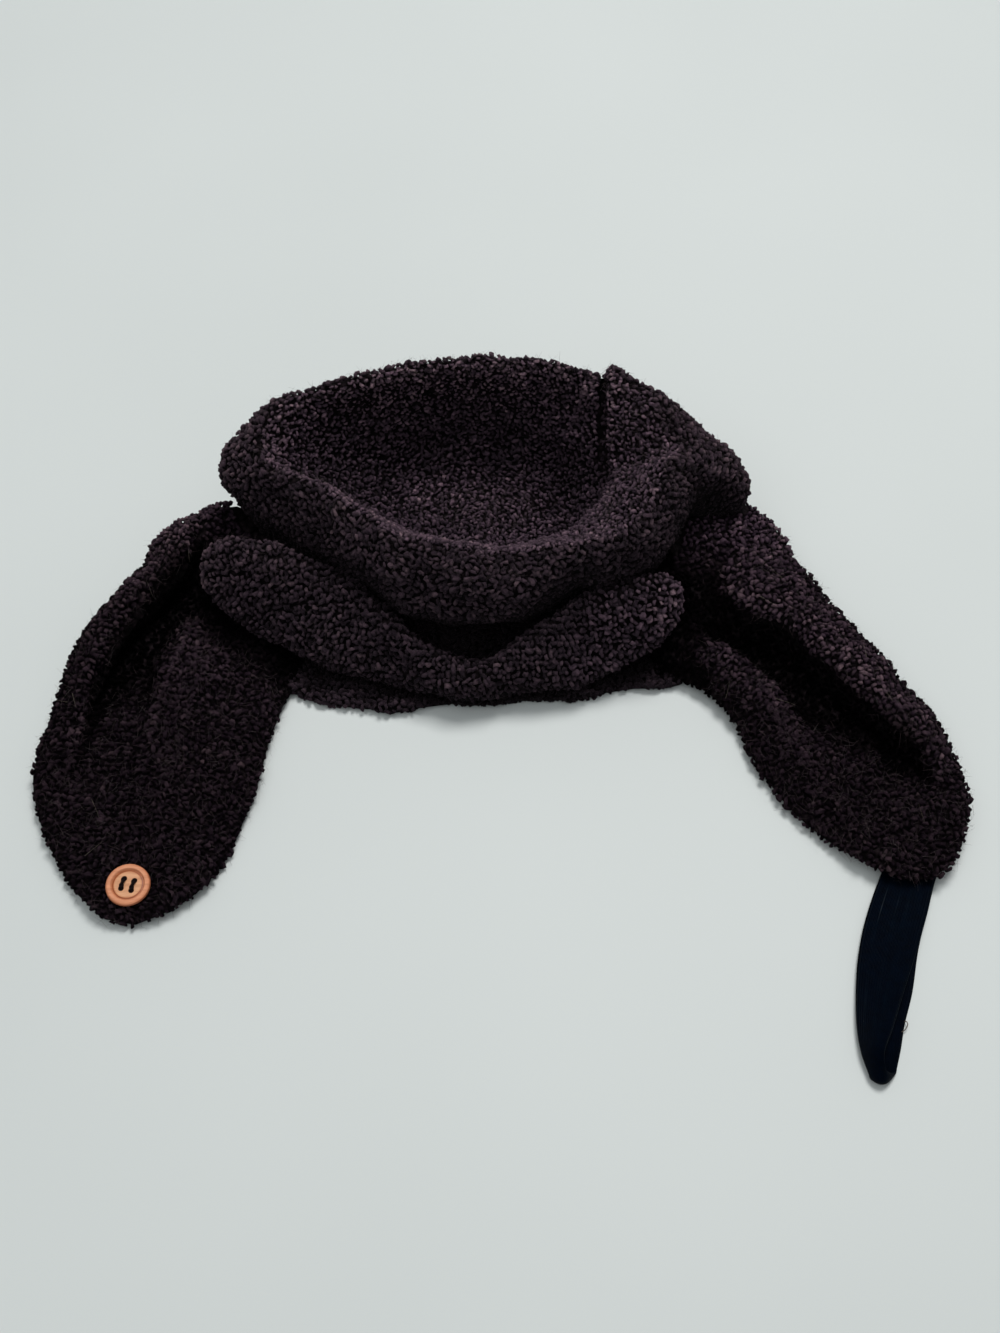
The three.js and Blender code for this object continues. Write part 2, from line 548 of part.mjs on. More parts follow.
// The space that the two flat layers take under the flap, with a gap around it.
function strapSpace() {
  const frameAt = strapFrame();
  const height = 2 * STRAP_THICKNESS + GAP;
  const rings = [-GAP, STRAP_HIDDEN, STRAP_HIDDEN + STRAP_WIDTH / 2].map((s) => {
    const { middle, width } = frameAt(Math.max(s, 0));
    const ahead = new THREE.Vector3(-width.y, width.x, 0).normalize().multiplyScalar(-Math.min(s, 0));
    const corner = (a, z) => middle.clone().addScaledVector(width, a * (1 + (2 * GAP) / STRAP_WIDTH))
      .add(ahead).setZ(z);
    return [corner(-1, -GAP), corner(-1, height + GAP), corner(1, height + GAP), corner(1, -GAP)];
  });
  return solid(loft(rings));
}

// A turned wooden button with a raised rim, four holes and its underside at z = 0.
function buttonSolid() {
  const radius = BUTTON_DIAMETER / 2;
  const top = BUTTON_THICKNESS;
  const dishEdge = radius - BUTTON_RIM_WIDTH;
  const profile = [
    [0, 0], [radius * 0.8, 0], [radius * 0.96, top * 0.25], [radius, top * 0.55], [radius * 0.97, top * 0.85],
    [radius * 0.9, top], [dishEdge + 1, top], [dishEdge + 0.3, top - BUTTON_DISH * 1.3],
    [dishEdge - 0.5, top - BUTTON_DISH], [0, top - BUTTON_DISH],
  ];
  const turned = new THREE.LatheGeometry(profile.map(([x, y]) => new THREE.Vector2(x, y)), 32);
  turned.rotateX(Math.PI / 2);
  let body = solid(faceOutward(closed(turned)));
  for (const [x, y] of holePlaces()) {
    const bore = new THREE.CylinderGeometry(HOLE_DIAMETER / 2, HOLE_DIAMETER / 2, 4 * top, 12);
    bore.rotateX(Math.PI / 2).translate(x, y, top / 2);
    body = body.subtract(solid(faceOutward(closed(bore))));
  }
  return body;
}

// A geometry of three.js with its shared points joined, which makes it one closed body.
function closed(geometry) {
  const plain = geometry.index ? geometry.toNonIndexed() : geometry;
  const place = plain.attributes.position;
  const corner = (_, i) => new THREE.Vector3().fromBufferAttribute(place, i);
  const points = Array.from({ length: place.count }, corner);
  return weld(points, points.map((_, i) => i));
}

function holePlaces() {
  const half = HOLE_SPACING / 2;
  return [[-half, -half], [half, -half], [-half, half], [half, half]];
}

// One stitch over the button's top, down into a hole at each end.
function stitchSolid(x) {
  const radius = THREAD_DIAMETER / 2;
  const reach = HOLE_SPACING / 2;
  const bend = THREAD_DIAMETER;
  const top = BUTTON_THICKNESS - BUTTON_DISH + GAP + radius;
  const path = [{ y: -reach, z: GAP, turn: 90 }];
  for (const side of [-1, 1]) {
    for (const step of [0, 30, 60, 90]) {
      const turn = side < 0 ? 90 - step : -step;
      const round = degrees(turn + 90);
      const y = side * (reach - bend) + bend * Math.cos(round);
      path.push({ y, z: top - bend + bend * Math.sin(round), turn });
    }
  }
  path.push({ y: reach, z: GAP, turn: -90 });
  const rings = path.map(({ y, z, turn }) => Array.from({ length: 8 }, (_, i) => {
    const round = (2 * Math.PI * i) / 8;
    const out = radius * Math.sin(round);
    return new THREE.Vector3(
      x + radius * Math.cos(round),
      y - out * Math.sin(degrees(turn)),
      z + out * Math.cos(degrees(turn)),
    );
  }));
  return solid(loft(rings));
}

function knit(color) {
  return new THREE.MeshStandardMaterial({ color, roughness: 0.95, metalness: 0 });
}

const wool = knit("#3b3033");
const tape = new THREE.MeshStandardMaterial({ color: "#08111a", roughness: 0.45, metalness: 0 });
const wood = new THREE.MeshStandardMaterial({ color: "#da9066", roughness: 0.5, metalness: 0 });
const thread = new THREE.MeshStandardMaterial({ color: "#1b1413", roughness: 0.8, metalness: 0 });

function piece(name, manifold, material) {
  const mesh = new THREE.Mesh(surface(manifold), material);
  mesh.name = name;
  return mesh;
}

const space = crownSpace();
const prism = hemPrism();

// A flap's root is cut to the crown that it is sewn to.
function earFlap(flap) {
  return flapSolid(flap).subtract(space).subtract(prism);
}

function frontBrim() {
  return [LEFT_FLAP, RIGHT_FLAP].reduce(
    (body, flap) => body.subtract(flapSolid(flap, GAP)),
    brimSolid().subtract(space),
  );
}

// The button lies on the flap, square to its surface, with its stitches.
function buttonGroup() {
  const place = flapSurface(LEFT_FLAP);
  const { along, across } = BUTTON_PLACE;
  const middle = place(along, across);
  const toTip = place(along + 0.01, across).sub(place(along - 0.01, across));
  const toInner = place(along, across + 0.01).sub(place(along, across - 0.01));
  const up = toInner.cross(toTip).normalize();
  up.multiplyScalar(Math.sign(up.z));
  const sewn = new THREE.Group();
  sewn.position.copy(middle.addScaledVector(up, FLAP_WALL / 2 + GAP));
  sewn.quaternion.setFromUnitVectors(new THREE.Vector3(0, 0, 1), up);
  sewn.rotateZ(degrees(BUTTON_TURN));
  sewn.add(piece("button", buttonSolid(), wood));
  sewn.add(piece("button_stitch_left", stitchSolid(-HOLE_SPACING / 2), thread));
  sewn.add(piece("button_stitch_right", stitchSolid(HOLE_SPACING / 2), thread));
  return sewn;
}

const hat = new THREE.Group();
hat.add(piece("crown", crown(), wool));
hat.add(piece("front_brim", frontBrim(), wool));
hat.add(piece("left_ear_flap", earFlap(LEFT_FLAP), wool));
hat.add(piece("right_ear_flap", earFlap(RIGHT_FLAP).subtract(strapSpace()), wool));
hat.add(piece("strap_loop", strapSolid(), tape));
hat.add(buttonGroup());

// The origin is the middle of the hat's box, on the table.
const box = new THREE.Box3().setFromObject(hat, true);
const middle = box.getCenter(new THREE.Vector3());
hat.position.set(-middle.x, -middle.y, -box.min.z);

export default hat;
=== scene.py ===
# %% [markdown]
# # A knitted aviator hat, laid on a table
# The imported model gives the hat's solids, and this script dresses them. The knit is made anew on the same
# surfaces: thousands of small yarn stitches over a dark ground, with the fuzz of the wool. The elastic strap
# and the threads on the button are new pieces too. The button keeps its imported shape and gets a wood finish.

import bpy
import numpy as np
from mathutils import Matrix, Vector


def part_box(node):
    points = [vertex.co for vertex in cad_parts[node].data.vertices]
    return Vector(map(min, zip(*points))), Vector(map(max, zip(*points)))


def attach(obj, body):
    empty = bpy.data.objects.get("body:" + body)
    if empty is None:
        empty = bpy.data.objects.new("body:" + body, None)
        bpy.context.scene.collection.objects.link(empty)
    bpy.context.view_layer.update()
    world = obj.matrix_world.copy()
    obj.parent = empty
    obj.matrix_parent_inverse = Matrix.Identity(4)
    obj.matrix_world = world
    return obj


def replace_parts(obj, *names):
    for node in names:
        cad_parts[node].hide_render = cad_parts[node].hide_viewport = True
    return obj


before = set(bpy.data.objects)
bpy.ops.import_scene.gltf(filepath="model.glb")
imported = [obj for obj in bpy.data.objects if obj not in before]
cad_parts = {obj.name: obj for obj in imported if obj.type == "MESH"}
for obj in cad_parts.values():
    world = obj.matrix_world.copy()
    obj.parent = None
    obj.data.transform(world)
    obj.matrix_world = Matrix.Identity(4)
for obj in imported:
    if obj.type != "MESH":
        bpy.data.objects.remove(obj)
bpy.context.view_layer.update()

# %% [markdown]
# ## Units
# The surfaces below are worked out in millimetres about the hat's own middle, as a maker would measure them.
# One shift brings them into the model's frame, and they become metres when a mesh is made.

# %% Units and the shift into the model's frame
MM = 0.001
SHIFT = np.array([0.166, -0.259, 0.0])  # millimetres


def in_metres(points):
    """Millimetres about the hat's middle to metres in the model's frame: the shift is added, then all is
    scaled."""
    return (np.asarray(points, float) + SHIFT) * MM


# %% [markdown]
# ## The camera
# The hat is seen from the front and above, at about 60 degrees. A camera could be aimed with a constraint,
# but a place, a tilt and a focal length say the same in three numbers.

# %% The camera
SENSOR = 36.0  # millimetres
FOCAL_LENGTH, FRAME_HEIGHT = 1616, 1333  # both in pixels of the 1000 by 1333 frame
CAMERA_PLACE, CAMERA_TILT = (0.0, -350.0, 677.0), 29.9  # millimetres, and degrees from straight down
lens_data = bpy.data.cameras.new("camera")
lens_data.sensor_width = SENSOR
lens_data.lens = SENSOR * FOCAL_LENGTH / FRAME_HEIGHT
camera = bpy.data.objects.new("camera", lens_data)
camera.location = in_metres(CAMERA_PLACE)
camera.rotation_euler = (np.radians(CAMERA_TILT), 0.0, 0.0)
bpy.context.scene.collection.objects.link(camera)
bpy.context.scene.camera = camera
print("camera at", [round(c, 4) for c in camera.location], "lens", round(lens_data.lens, 2), "mm")

# %% [markdown]
# ## Helpers for meshes
# A surface here is a grid of points, worked out as whole numpy arrays. `foreach_set` hands such arrays to
# Blender in one go, which is far quicker than adding one vertex after another.


# %% Helper: a mesh from arrays
def make_piece(name, points, faces, finish, attributes=None):
    """One object from points in millimetres, a list of face arrays, each with as many columns as corners,
    and values for its points by name."""
    mesh = bpy.data.meshes.new(name)
    corners = np.concatenate([np.asarray(part).ravel() for part in faces]).astype(np.int32)
    sizes = np.concatenate([np.full(len(part), np.shape(part)[1]) for part in faces])
    starts = np.concatenate(([0], np.cumsum(sizes)[:-1])).astype(np.int32)
    mesh.vertices.add(len(points))
    mesh.vertices.foreach_set("co", in_metres(points).astype(np.float32).ravel())
    mesh.loops.add(len(corners))
    mesh.loops.foreach_set("vertex_index", corners)
    mesh.polygons.add(len(sizes))
    mesh.polygons.foreach_set("loop_start", starts)
    mesh.update(calc_edges=True)
    mesh.polygons.foreach_set("use_smooth", np.ones(len(sizes), bool))
    for key, values in (attributes or {}).items():
        layer = mesh.attributes.new(key, "FLOAT", "POINT")
        layer.data.foreach_set("value", np.asarray(values, np.float32))
    mesh.materials.append(finish.material)
    piece = bpy.data.objects.new(name, mesh)
    bpy.context.scene.collection.objects.link(piece)
    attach(piece, "root")
    print(f"{name}: {int((sizes - 2).sum())} triangles")
    return piece


# %% Helper: faces over a grid
def grid_faces(rows, columns, closed):
    """The four-cornered faces between neighbours of a grid, round its columns too where it closes on
    itself."""
    across = columns if closed else columns - 1
    row, column = np.meshgrid(np.arange(rows - 1), np.arange(across), indexing="ij")
    beside = (column + 1) % columns
    a, b = row * columns + column, row * columns + beside
    return np.stack((a, a + columns, b + columns, b), -1).reshape(-1, 4)


def smooth_step(x, start, end):
    """Nought before start, one after end, and three t squared less two t cubed in between."""
    t = np.clip((np.asarray(x, float) - start) / (end - start), 0.0, 1.0)
    return t * t * (3 - 2 * t)


# %% Helper: a smooth curve through a table's column
def follow(at, value, x, period=0.0):
    """A cubic between each two rows, whose slope at a row is its neighbours' rise over their distance. A
    table may have one column for all x, or its own for each x, with the rows along the first axis."""
    at, value, x = (np.asarray(each, float) for each in (at, value, x))
    if period:
        at = np.concatenate((at[-2:] - period, at, at[:2] + period))
        value = np.concatenate((value[-2:], value, value[:2]))
    if at.ndim == 1:
        at, value = (np.broadcast_to(each.reshape(-1, *[1] * x.ndim), (len(each), *x.shape))
                     for each in (at, value))
    rise = np.concatenate((value[1:], value[-1:])) - np.concatenate((value[:1], value[:-1]))
    run = np.concatenate((at[1:], at[-1:])) - np.concatenate((at[:1], at[:-1]))
    slope = rise / run
    below = np.clip((x > at[1:-1]).sum(0), 0, len(at) - 2)
    pick = lambda column, step: np.take_along_axis(column, (below + step)[None], 0)[0]
    span = pick(at, 1) - pick(at, 0)
    t = np.clip((x - pick(at, 0)) / span, 0.0, 1.0)
    ends = pick(value, 0) * (1 + 2 * t) * (1 - t) ** 2 + pick(value, 1) * t * t * (3 - 2 * t)
    return ends + span * (pick(slope, 0) * t * (1 - t) ** 2 + pick(slope, 1) * t * t * (t - 1))


def read_table(rows, columns, at, period=0.0):
    """Each named column of a table, read at places of its first column."""
    return {name: follow(rows[:, 0], rows[:, k], at, period) for k, name in enumerate(columns) if k}


# %% Helper: normals and even spacing of a grid
def grid_normals(grid, closed):
    """Unit normals: the cross product of the steps down the rows and the steps along the columns."""
    down = np.gradient(grid, axis=0)
    along = np.roll(grid, -1, 1) - np.roll(grid, 1, 1) if closed else np.gradient(grid, axis=1)
    normal = np.cross(down, along)
    return normal / np.maximum(np.linalg.norm(normal, axis=2, keepdims=True), 1e-9)


def spaced_evenly(grid, rows):
    """Each column of the grid again, with its points at equal shares of its own length."""
    steps = np.linalg.norm(np.diff(grid, axis=0), axis=2)
    length = np.concatenate((np.zeros((1, grid.shape[1])), np.cumsum(steps, axis=0)))
    offset = 2.0 * np.arange(grid.shape[1])
    known = (length / length[-1] + offset).T.ravel()
    wanted = (np.linspace(0, 1, rows)[:, None] + offset).T.ravel()
    read = [np.interp(wanted, known, grid[..., k].T.ravel()) for k in range(3)]
    return np.stack(read, -1).reshape(grid.shape[1], rows, 3).transpose(1, 0, 2)


# %% [markdown]
# ## The crown's surface
# The crown has slumped: its top sank into a bowl, and its side folded over into a soft roll that stands on
# the table. A sculpted mesh could show that. A table of profiles is easier to change: each row gives, for
# one direction round the hat, how far out and how high the profile runs through the bowl, the crest, the
# roll and the hem.

# %% The crown's table
HALF_WIDTH, HALF_DEPTH, HEIGHT = 115.0, 80.0, 90.0  # of the oval that the crown stands on, and of its rim
BOWL_FLOOR, WALL, FOLD_HOLLOW = 34.0, 5.5, 2.0
CENTRE = np.array([-6.0, 100.0])

CROWN_COLUMNS = ("at", "floor", "inner_out", "inner_up", "crest_out", "crest_up", "bulge_out", "bulge_up",
                 "tuck_out", "tuck_up", "foot_out", "foot_up", "hem")
CROWN_ROWS = np.array([
    (0, 0.36, 0.55, 0.76, 0.71, 0.90, 0.86, 0.64, 0.80, 0.34, 0.78, 0.12, 0.81),
    (6, 0.36, 0.55, 0.76, 0.77, 0.88, 1.05, 0.57, 1.08, 0.35, 0.90, 0.12, 0.88),
    (13, 0.36, 0.56, 0.76, 0.81, 0.87, 1.11, 0.54, 1.14, 0.36, 0.98, 0.12, 0.94),
    (30, 0.38, 0.58, 0.82, 0.79, 0.96, 0.98, 0.67, 1.00, 0.30, 0.96, 0.12, 0.97),
    (50, 0.40, 0.56, 0.70, 0.73, 1.01, 0.86, 0.74, 0.88, 0.30, 0.87, 0.12, 0.88),
    (90, 0.40, 0.56, 0.62, 0.68, 1.00, 0.80, 0.72, 0.79, 0.30, 0.78, 0.12, 0.80),
    (130, 0.46, 0.63, 0.62, 0.76, 0.96, 0.87, 0.71, 0.86, 0.30, 0.87, 0.12, 0.88),
    (155, 0.50, 0.77, 0.62, 0.94, 0.90, 1.10, 0.66, 0.99, 0.34, 0.95, 0.12, 0.97),
    (172, 0.48, 0.74, 0.62, 0.92, 0.84, 1.10, 0.64, 1.04, 0.36, 0.95, 0.12, 0.97),
    (190, 0.36, 0.52, 0.60, 0.67, 0.82, 0.87, 0.62, 0.88, 0.36, 0.87, 0.10, 0.98),
    (210, 0.26, 0.40, 0.58, 0.56, 0.80, 0.74, 0.60, 0.76, 0.34, 0.77, 0.10, 1.04),
    (228, 0.24, 0.36, 0.56, 0.53, 0.78, 0.71, 0.56, 0.70, 0.30, 0.75, 0.08, 1.24),
    (245, 0.22, 0.34, 0.56, 0.50, 0.77, 0.75, 0.50, 0.67, 0.24, 0.77, 0.08, 1.17),
    (265, 0.22, 0.34, 0.56, 0.49, 0.76, 0.77, 0.47, 0.64, 0.22, 0.77, 0.08, 1.02),
    (285, 0.22, 0.34, 0.56, 0.51, 0.76, 0.71, 0.52, 0.63, 0.24, 0.73, 0.08, 1.03),
    (303, 0.24, 0.38, 0.60, 0.56, 0.78, 0.68, 0.57, 0.64, 0.30, 0.71, 0.08, 1.10),
    (313, 0.26, 0.44, 0.64, 0.63, 0.80, 0.74, 0.60, 0.70, 0.34, 0.71, 0.08, 1.20),
    (328, 0.30, 0.48, 0.70, 0.70, 0.82, 0.81, 0.62, 0.76, 0.34, 0.74, 0.10, 0.94),
    (345, 0.34, 0.52, 0.74, 0.71, 0.87, 0.82, 0.64, 0.77, 0.34, 0.75, 0.12, 0.80),
])


# %% The crown's profiles
def through_knots(knots, steps):
    """A centripetal Catmull-Rom curve: its tangents weigh each side by the square root of the distance
    there."""
    ends = np.concatenate(((2 * knots[0] - knots[1])[None], knots, (2 * knots[-1] - knots[-2])[None]))
    place = np.linspace(0, len(knots) - 1, steps + 1)
    i = np.minimum(place.astype(int), len(knots) - 2)
    w = (place - i).reshape(-1, *[1] * (knots.ndim - 1))
    p0, p1, p2, p3 = (ends[i + k] for k in range(4))
    d0, d1, d2 = (np.sqrt(np.linalg.norm(b - a, axis=-1, keepdims=True))
                  for a, b in ((p0, p1), (p1, p2), (p2, p3)))
    t1 = ((p1 - p0) / d0 - (p2 - p0) / (d0 + d1) + (p2 - p1) / d1) * d1
    t2 = ((p2 - p1) / d1 - (p3 - p1) / (d1 + d2) + (p3 - p2) / d2) * d1
    return p1 + w * t1 + w**2 * (3 * p2 - 3 * p1 - 2 * t1 - t2) + w**3 * (2 * p1 - 2 * p2 + t1 + t2)


def crown_profiles(turns, steps, wall=0.0):
    """For each direction, the profile from the bowl's middle to the hem, or the one a wall's thickness
    inside it. The result is out and up, in millimetres, for steps + 1 points and each direction, and the
    oval's reach."""
    read = read_table(CROWN_ROWS, CROWN_COLUMNS, turns, 360.0)
    reach = np.hypot(HALF_WIDTH * np.cos(np.radians(turns)), HALF_DEPTH * np.sin(np.radians(turns)))
    bowl_side = np.minimum(wall, (reach * (read["bulge_out"] - read["inner_out"]) - FOLD_HOLLOW) / 2)
    zero = np.zeros_like(reach)
    knots = [(zero, zero + BOWL_FLOOR - wall), (reach * read["floor"], zero + BOWL_FLOOR + 2 - wall)]
    moves = {"inner": (bowl_side, -wall / 2), "crest": (0, -1.8 * wall), "bulge": (-wall, -wall / 2),
             "tuck": (-wall, 0), "foot": (-0.8 * wall, -1.4 * wall)}
    for name, (outward, upward) in moves.items():
        knots.append((reach * read[name + "_out"] + outward, HEIGHT * read[name + "_up"] + upward))
    knots.append((reach * read["hem"] - 0.1 * wall, zero + 0.9 * (WALL - wall)))
    return through_knots(np.array(knots).transpose(0, 2, 1), steps), reach


# %% The crown's outer and inner surfaces
def crown_grid(around, steps, wall=0.0):
    """Profiles set side by side round the oval: a point lies at its share of the oval's radius, and never
    below 0."""
    turns = np.arange(around) * 360.0 / around
    profile, reach = crown_profiles(turns, steps, wall)
    share = profile[..., 0] / reach
    x = CENTRE[0] + HALF_WIDTH * share * np.cos(np.radians(turns))
    y = CENTRE[1] + HALF_DEPTH * share * np.sin(np.radians(turns))
    return np.stack((x, y, np.maximum(profile[..., 1], 0.0)), -1)


def with_pole(normals):
    """The bowl's middle is one point for all columns, so its normal is set straight up."""
    normals[0] = (0.0, 0.0, 1.0)
    return normals


def with_hem_edge(grid, bulge=1.6, steps=6):
    """Rows added round the hem's cut edge: out by the sine and down by the cosine of a half turn, to the
    table."""
    last = grid[-1]
    out = last[:, :2] - CENTRE
    out /= np.linalg.norm(out, axis=1, keepdims=True)
    turn = np.linspace(0, np.pi, steps + 1)[1:, None]
    plan = last[None, :, :2] + bulge * np.sin(turn)[..., None] * out
    height = last[None, :, 2] * (1 + np.cos(turn)) / 2
    return np.concatenate((grid, np.concatenate((plan, height[..., None]), -1)))


# %% [markdown]
# ## The crease over the right rim, and the cloth's own waves
# A fold runs from the back rim down into the bowl, and the cloth to its right stands a little proud of it.
# The rest of the knit isn't smooth either: it waves by half a millimetre or so. Both are offsets along the
# surface's normal.

# %% The crease and the waves
CREASE_X, CREASE_DEPTH, CREASE_HALF, CREASE_STEP, CREASE_DIP = 47.5, 5.5, 2.6, 3.0, 2.0  # millimetres
CREASE_START, CREASE_END = (0.02, 0.3), (0.59, 0.67)  # shares of the oval's depth where it fades in and out
BACK_WALL = (55, 82)  # heights, in millimetres, between which the outer back wall's crease fades in
WAVES, WAVE_LENGTHS, WAVE_SIZE = 14, (11, 42), 0.011  # how many, millimetres, and a share of the length
CROWN_AROUND, CROWN_STEPS, LINING_STEPS = 384, 220, 40
THIN_OUT = 3  # the crown's ground and lining have one column for each three of its skin


def crease_offset(points):
    """A narrow bell across x for the slot, with a step up on its right and a dip on its left that both die
    away. It is faded in and out along y, and runs on behind the rim only high up on the wall."""
    x, y = points[..., 0] - CREASE_X, (points[..., 1] - CENTRE[1]) / HALF_DEPTH
    down_the_wall = smooth_step(y, *CREASE_END) * (1 - smooth_step(points[..., 2], *BACK_WALL))
    along = smooth_step(y, *CREASE_START) * (1 - down_the_wall)
    side = smooth_step(x, -1.0, 4.5)
    step = CREASE_STEP * side * np.exp(-np.maximum(x, 0) / 24)
    step = step - CREASE_DIP * (1 - side) * np.exp(np.minimum(x, 0) / 12)
    return along * (step - CREASE_DEPTH * np.exp(-((x / CREASE_HALF) ** 2)))


def waves(points):
    """The sum of seeded sine waves through space. Each is about a fiftieth of its length high from trough to
    crest."""
    rng = np.random.default_rng(5)
    length = rng.uniform(*WAVE_LENGTHS, WAVES)
    way = rng.normal(size=(WAVES, 3))
    way *= (2 * np.pi / length / np.linalg.norm(way, axis=1))[:, None]
    return (np.sin(points @ way.T + rng.uniform(0, 6.3, WAVES)) * length * WAVE_SIZE).sum(-1)


crown_skin = with_hem_edge(crown_grid(CROWN_AROUND, CROWN_STEPS))
offset = crease_offset(crown_skin) + waves(crown_skin)
crown_skin = crown_skin + with_pole(grid_normals(crown_skin, True)) * offset[..., None]
crown_skin[0] = crown_skin[0].mean(0)
crown_skin[..., 2] = np.maximum(crown_skin[..., 2], 0.2)
crown_lining = crown_grid(CROWN_AROUND // THIN_OUT, LINING_STEPS, WALL)
print("crown from", np.round(crown_skin.min((0, 1)), 1), "to", np.round(crown_skin.max((0, 1)), 1), "mm")

# %% [markdown]
# ## The ear flaps' surfaces
# Each flap is a thick knitted tongue that lies on the table in one long fold: a steep outer roll, a valley,
# and a low inner panel. A cloth simulation could drape it, but these folds were made by a hand, so a table
# gives them.

# %% The flaps' tables
FLAP_WALL, FLAP_RISE = 7.0, 26.0
FLAP_ALONG, FLAP_ACROSS = 160, 60  # steps of the grid
ROLL_LEAN, PANEL_LEAN = 9.0, 6.0  # millimetres that each leans over the valley at full height
BUTTON_DENT = 1.3  # millimetres that the button presses into the left flap
FLAP_COLUMNS = ("at", "outer", "inner", "outer_up", "roll", "roll_up", "valley", "valley_up", "panel",
                "panel_up", "inner_up")
LEFT_FLAP_ROWS = np.array([
    (0.00, 0.30, 0.50, 0.70, 0.20, 0.85, 0.45, 0.78, 0.70, 0.70, 0.70),
    (0.10, 0.66, 0.50, 0.50, 0.15, 0.85, 0.42, 0.60, 0.66, 0.70, 0.60),
    (0.18, 0.74, 0.62, 0.40, 0.14, 0.88, 0.36, 0.15, 0.58, 0.55, 0.35),
    (0.27, 0.88, 0.72, 0.30, 0.12, 0.87, 0.34, 0.05, 0.52, 0.58, 0.00),
    (0.39, 1.00, 0.60, 0.20, 0.11, 0.76, 0.28, 0.00, 0.48, 0.50, 0.00),
    (0.52, 1.04, 0.55, 0.12, 0.11, 0.50, 0.26, 0.05, 0.50, 0.30, 0.00),
    (0.66, 1.02, 0.56, 0.10, 0.11, 0.20, 0.28, 0.05, 0.52, 0.12, 0.00),
    (0.74, 0.99, 0.53, 0.06, 0.10, 0.08, 0.28, 0.02, 0.52, 0.03, 0.00),
    (0.83, 0.82, 0.48, 0.00, 0.10, 0.02, 0.28, 0.00, 0.52, 0.00, 0.00),
    (0.91, 0.60, 0.36, 0.00, 0.10, 0.00, 0.28, 0.00, 0.52, 0.00, 0.00),
    (0.96, 0.42, 0.20, 0.00, 0.10, 0.00, 0.28, 0.00, 0.52, 0.00, 0.00),
    (1.00, 0.18, 0.00, 0.00, 0.10, 0.00, 0.28, 0.00, 0.52, 0.00, 0.00),
])
RIGHT_FLAP_ROWS = np.array([
    (0.000, 0.82, 0.60, 0.70, 0.30, 1.10, 0.60, 1.25, 0.85, 1.00, 0.80),
    (0.100, 1.00, 0.60, 0.50, 0.32, 1.02, 0.62, 1.15, 0.84, 0.95, 0.70),
    (0.200, 0.99, 0.78, 0.40, 0.34, 0.95, 0.68, 0.72, 0.82, 0.60, 0.30),
    (0.290, 0.97, 0.84, 0.35, 0.33, 0.92, 0.63, 0.22, 0.80, 0.50, 0.00),
    (0.370, 0.96, 0.64, 0.32, 0.27, 0.88, 0.57, 0.02, 0.80, 0.42, 0.00),
    (0.460, 0.96, 0.58, 0.30, 0.24, 0.85, 0.53, 0.00, 0.78, 0.36, 0.00),
    (0.560, 0.97, 0.68, 0.26, 0.20, 0.80, 0.45, 0.00, 0.72, 0.26, 0.00),
    (0.660, 0.97, 0.71, 0.22, 0.16, 0.72, 0.37, 0.00, 0.66, 0.16, 0.00),
    (0.730, 0.95, 0.69, 0.18, 0.13, 0.60, 0.30, 0.02, 0.60, 0.10, 0.00),
    (0.820, 0.89, 0.60, 0.15, 0.12, 0.34, 0.28, 0.10, 0.56, 0.08, 0.04),
    (0.890, 0.77, 0.48, 0.15, 0.12, 0.22, 0.28, 0.14, 0.56, 0.13, 0.13),
    (0.940, 0.56, 0.36, 0.14, 0.12, 0.16, 0.28, 0.14, 0.56, 0.14, 0.14),
    (0.975, 0.36, 0.24, 0.14, 0.12, 0.14, 0.28, 0.14, 0.56, 0.14, 0.14),
    (1.000, 0.12, 0.04, 0.14, 0.12, 0.14, 0.28, 0.14, 0.56, 0.14, 0.14),
])
LEFT_FLAP = {"rows": LEFT_FLAP_ROWS, "x": -1.06, "y": -0.25, "turn": -11.0, "outward": -1, "behind": 0.167,
             "length": 214.0, "half_width": 66.0, "fall": 0.32, "climb": 0.6}
RIGHT_FLAP = {"rows": RIGHT_FLAP_ROWS, "x": 0.887, "y": -0.25, "turn": 33.0, "outward": 1, "behind": 0.15,
              "length": 214.5, "half_width": 50.0, "fall": 0.56, "climb": 0.56}


# %% A flap's middle surface
def flap_middle(flap, share, across):
    """The place at a share of the flap's length and a place across it. The outline is read along the length,
    the height from a curve through the outer edge, roll, flat valley, panel and inner edge at that length.
    The higher the roll and the panel stand, the further they lean over the valley between them."""
    read = read_table(flap["rows"], FLAP_COLUMNS, share)
    zero = np.zeros_like(share)
    fallen = read["roll"] + flap["fall"] * (read["valley"] - read["roll"])
    climbing = read["valley"] + flap["climb"] * (read["panel"] - read["valley"])
    at = np.stack((zero, read["roll"], fallen, climbing, read["panel"], zero + 1))
    up = np.stack([read[name + "_up"] for name in ("outer", "roll", "valley", "valley", "panel", "inner")])
    rise = np.maximum(follow(at, up, across), 0.0)
    past = smooth_step(across, read["valley"], read["panel"])
    lean = ROLL_LEAN * rise * smooth_step(across, 0, read["roll"]) * (1 - past)
    lean = lean - PANEL_LEAN * rise * past * (1 - smooth_step(across, read["panel"], 1))
    along = (share - flap["behind"]) * flap["length"]
    edge = read["outer"] * (1 - across) - read["inner"] * across
    side = flap["outward"] * (flap["half_width"] * edge - lean)
    turn = np.radians(flap["turn"])
    x = CENTRE[0] + flap["x"] * HALF_WIDTH + np.sin(turn) * along + np.cos(turn) * side
    y = CENTRE[1] + flap["y"] * HALF_DEPTH - np.cos(turn) * along + np.sin(turn) * side
    return np.stack((x, y, FLAP_WALL / 2 + FLAP_RISE * rise), -1)


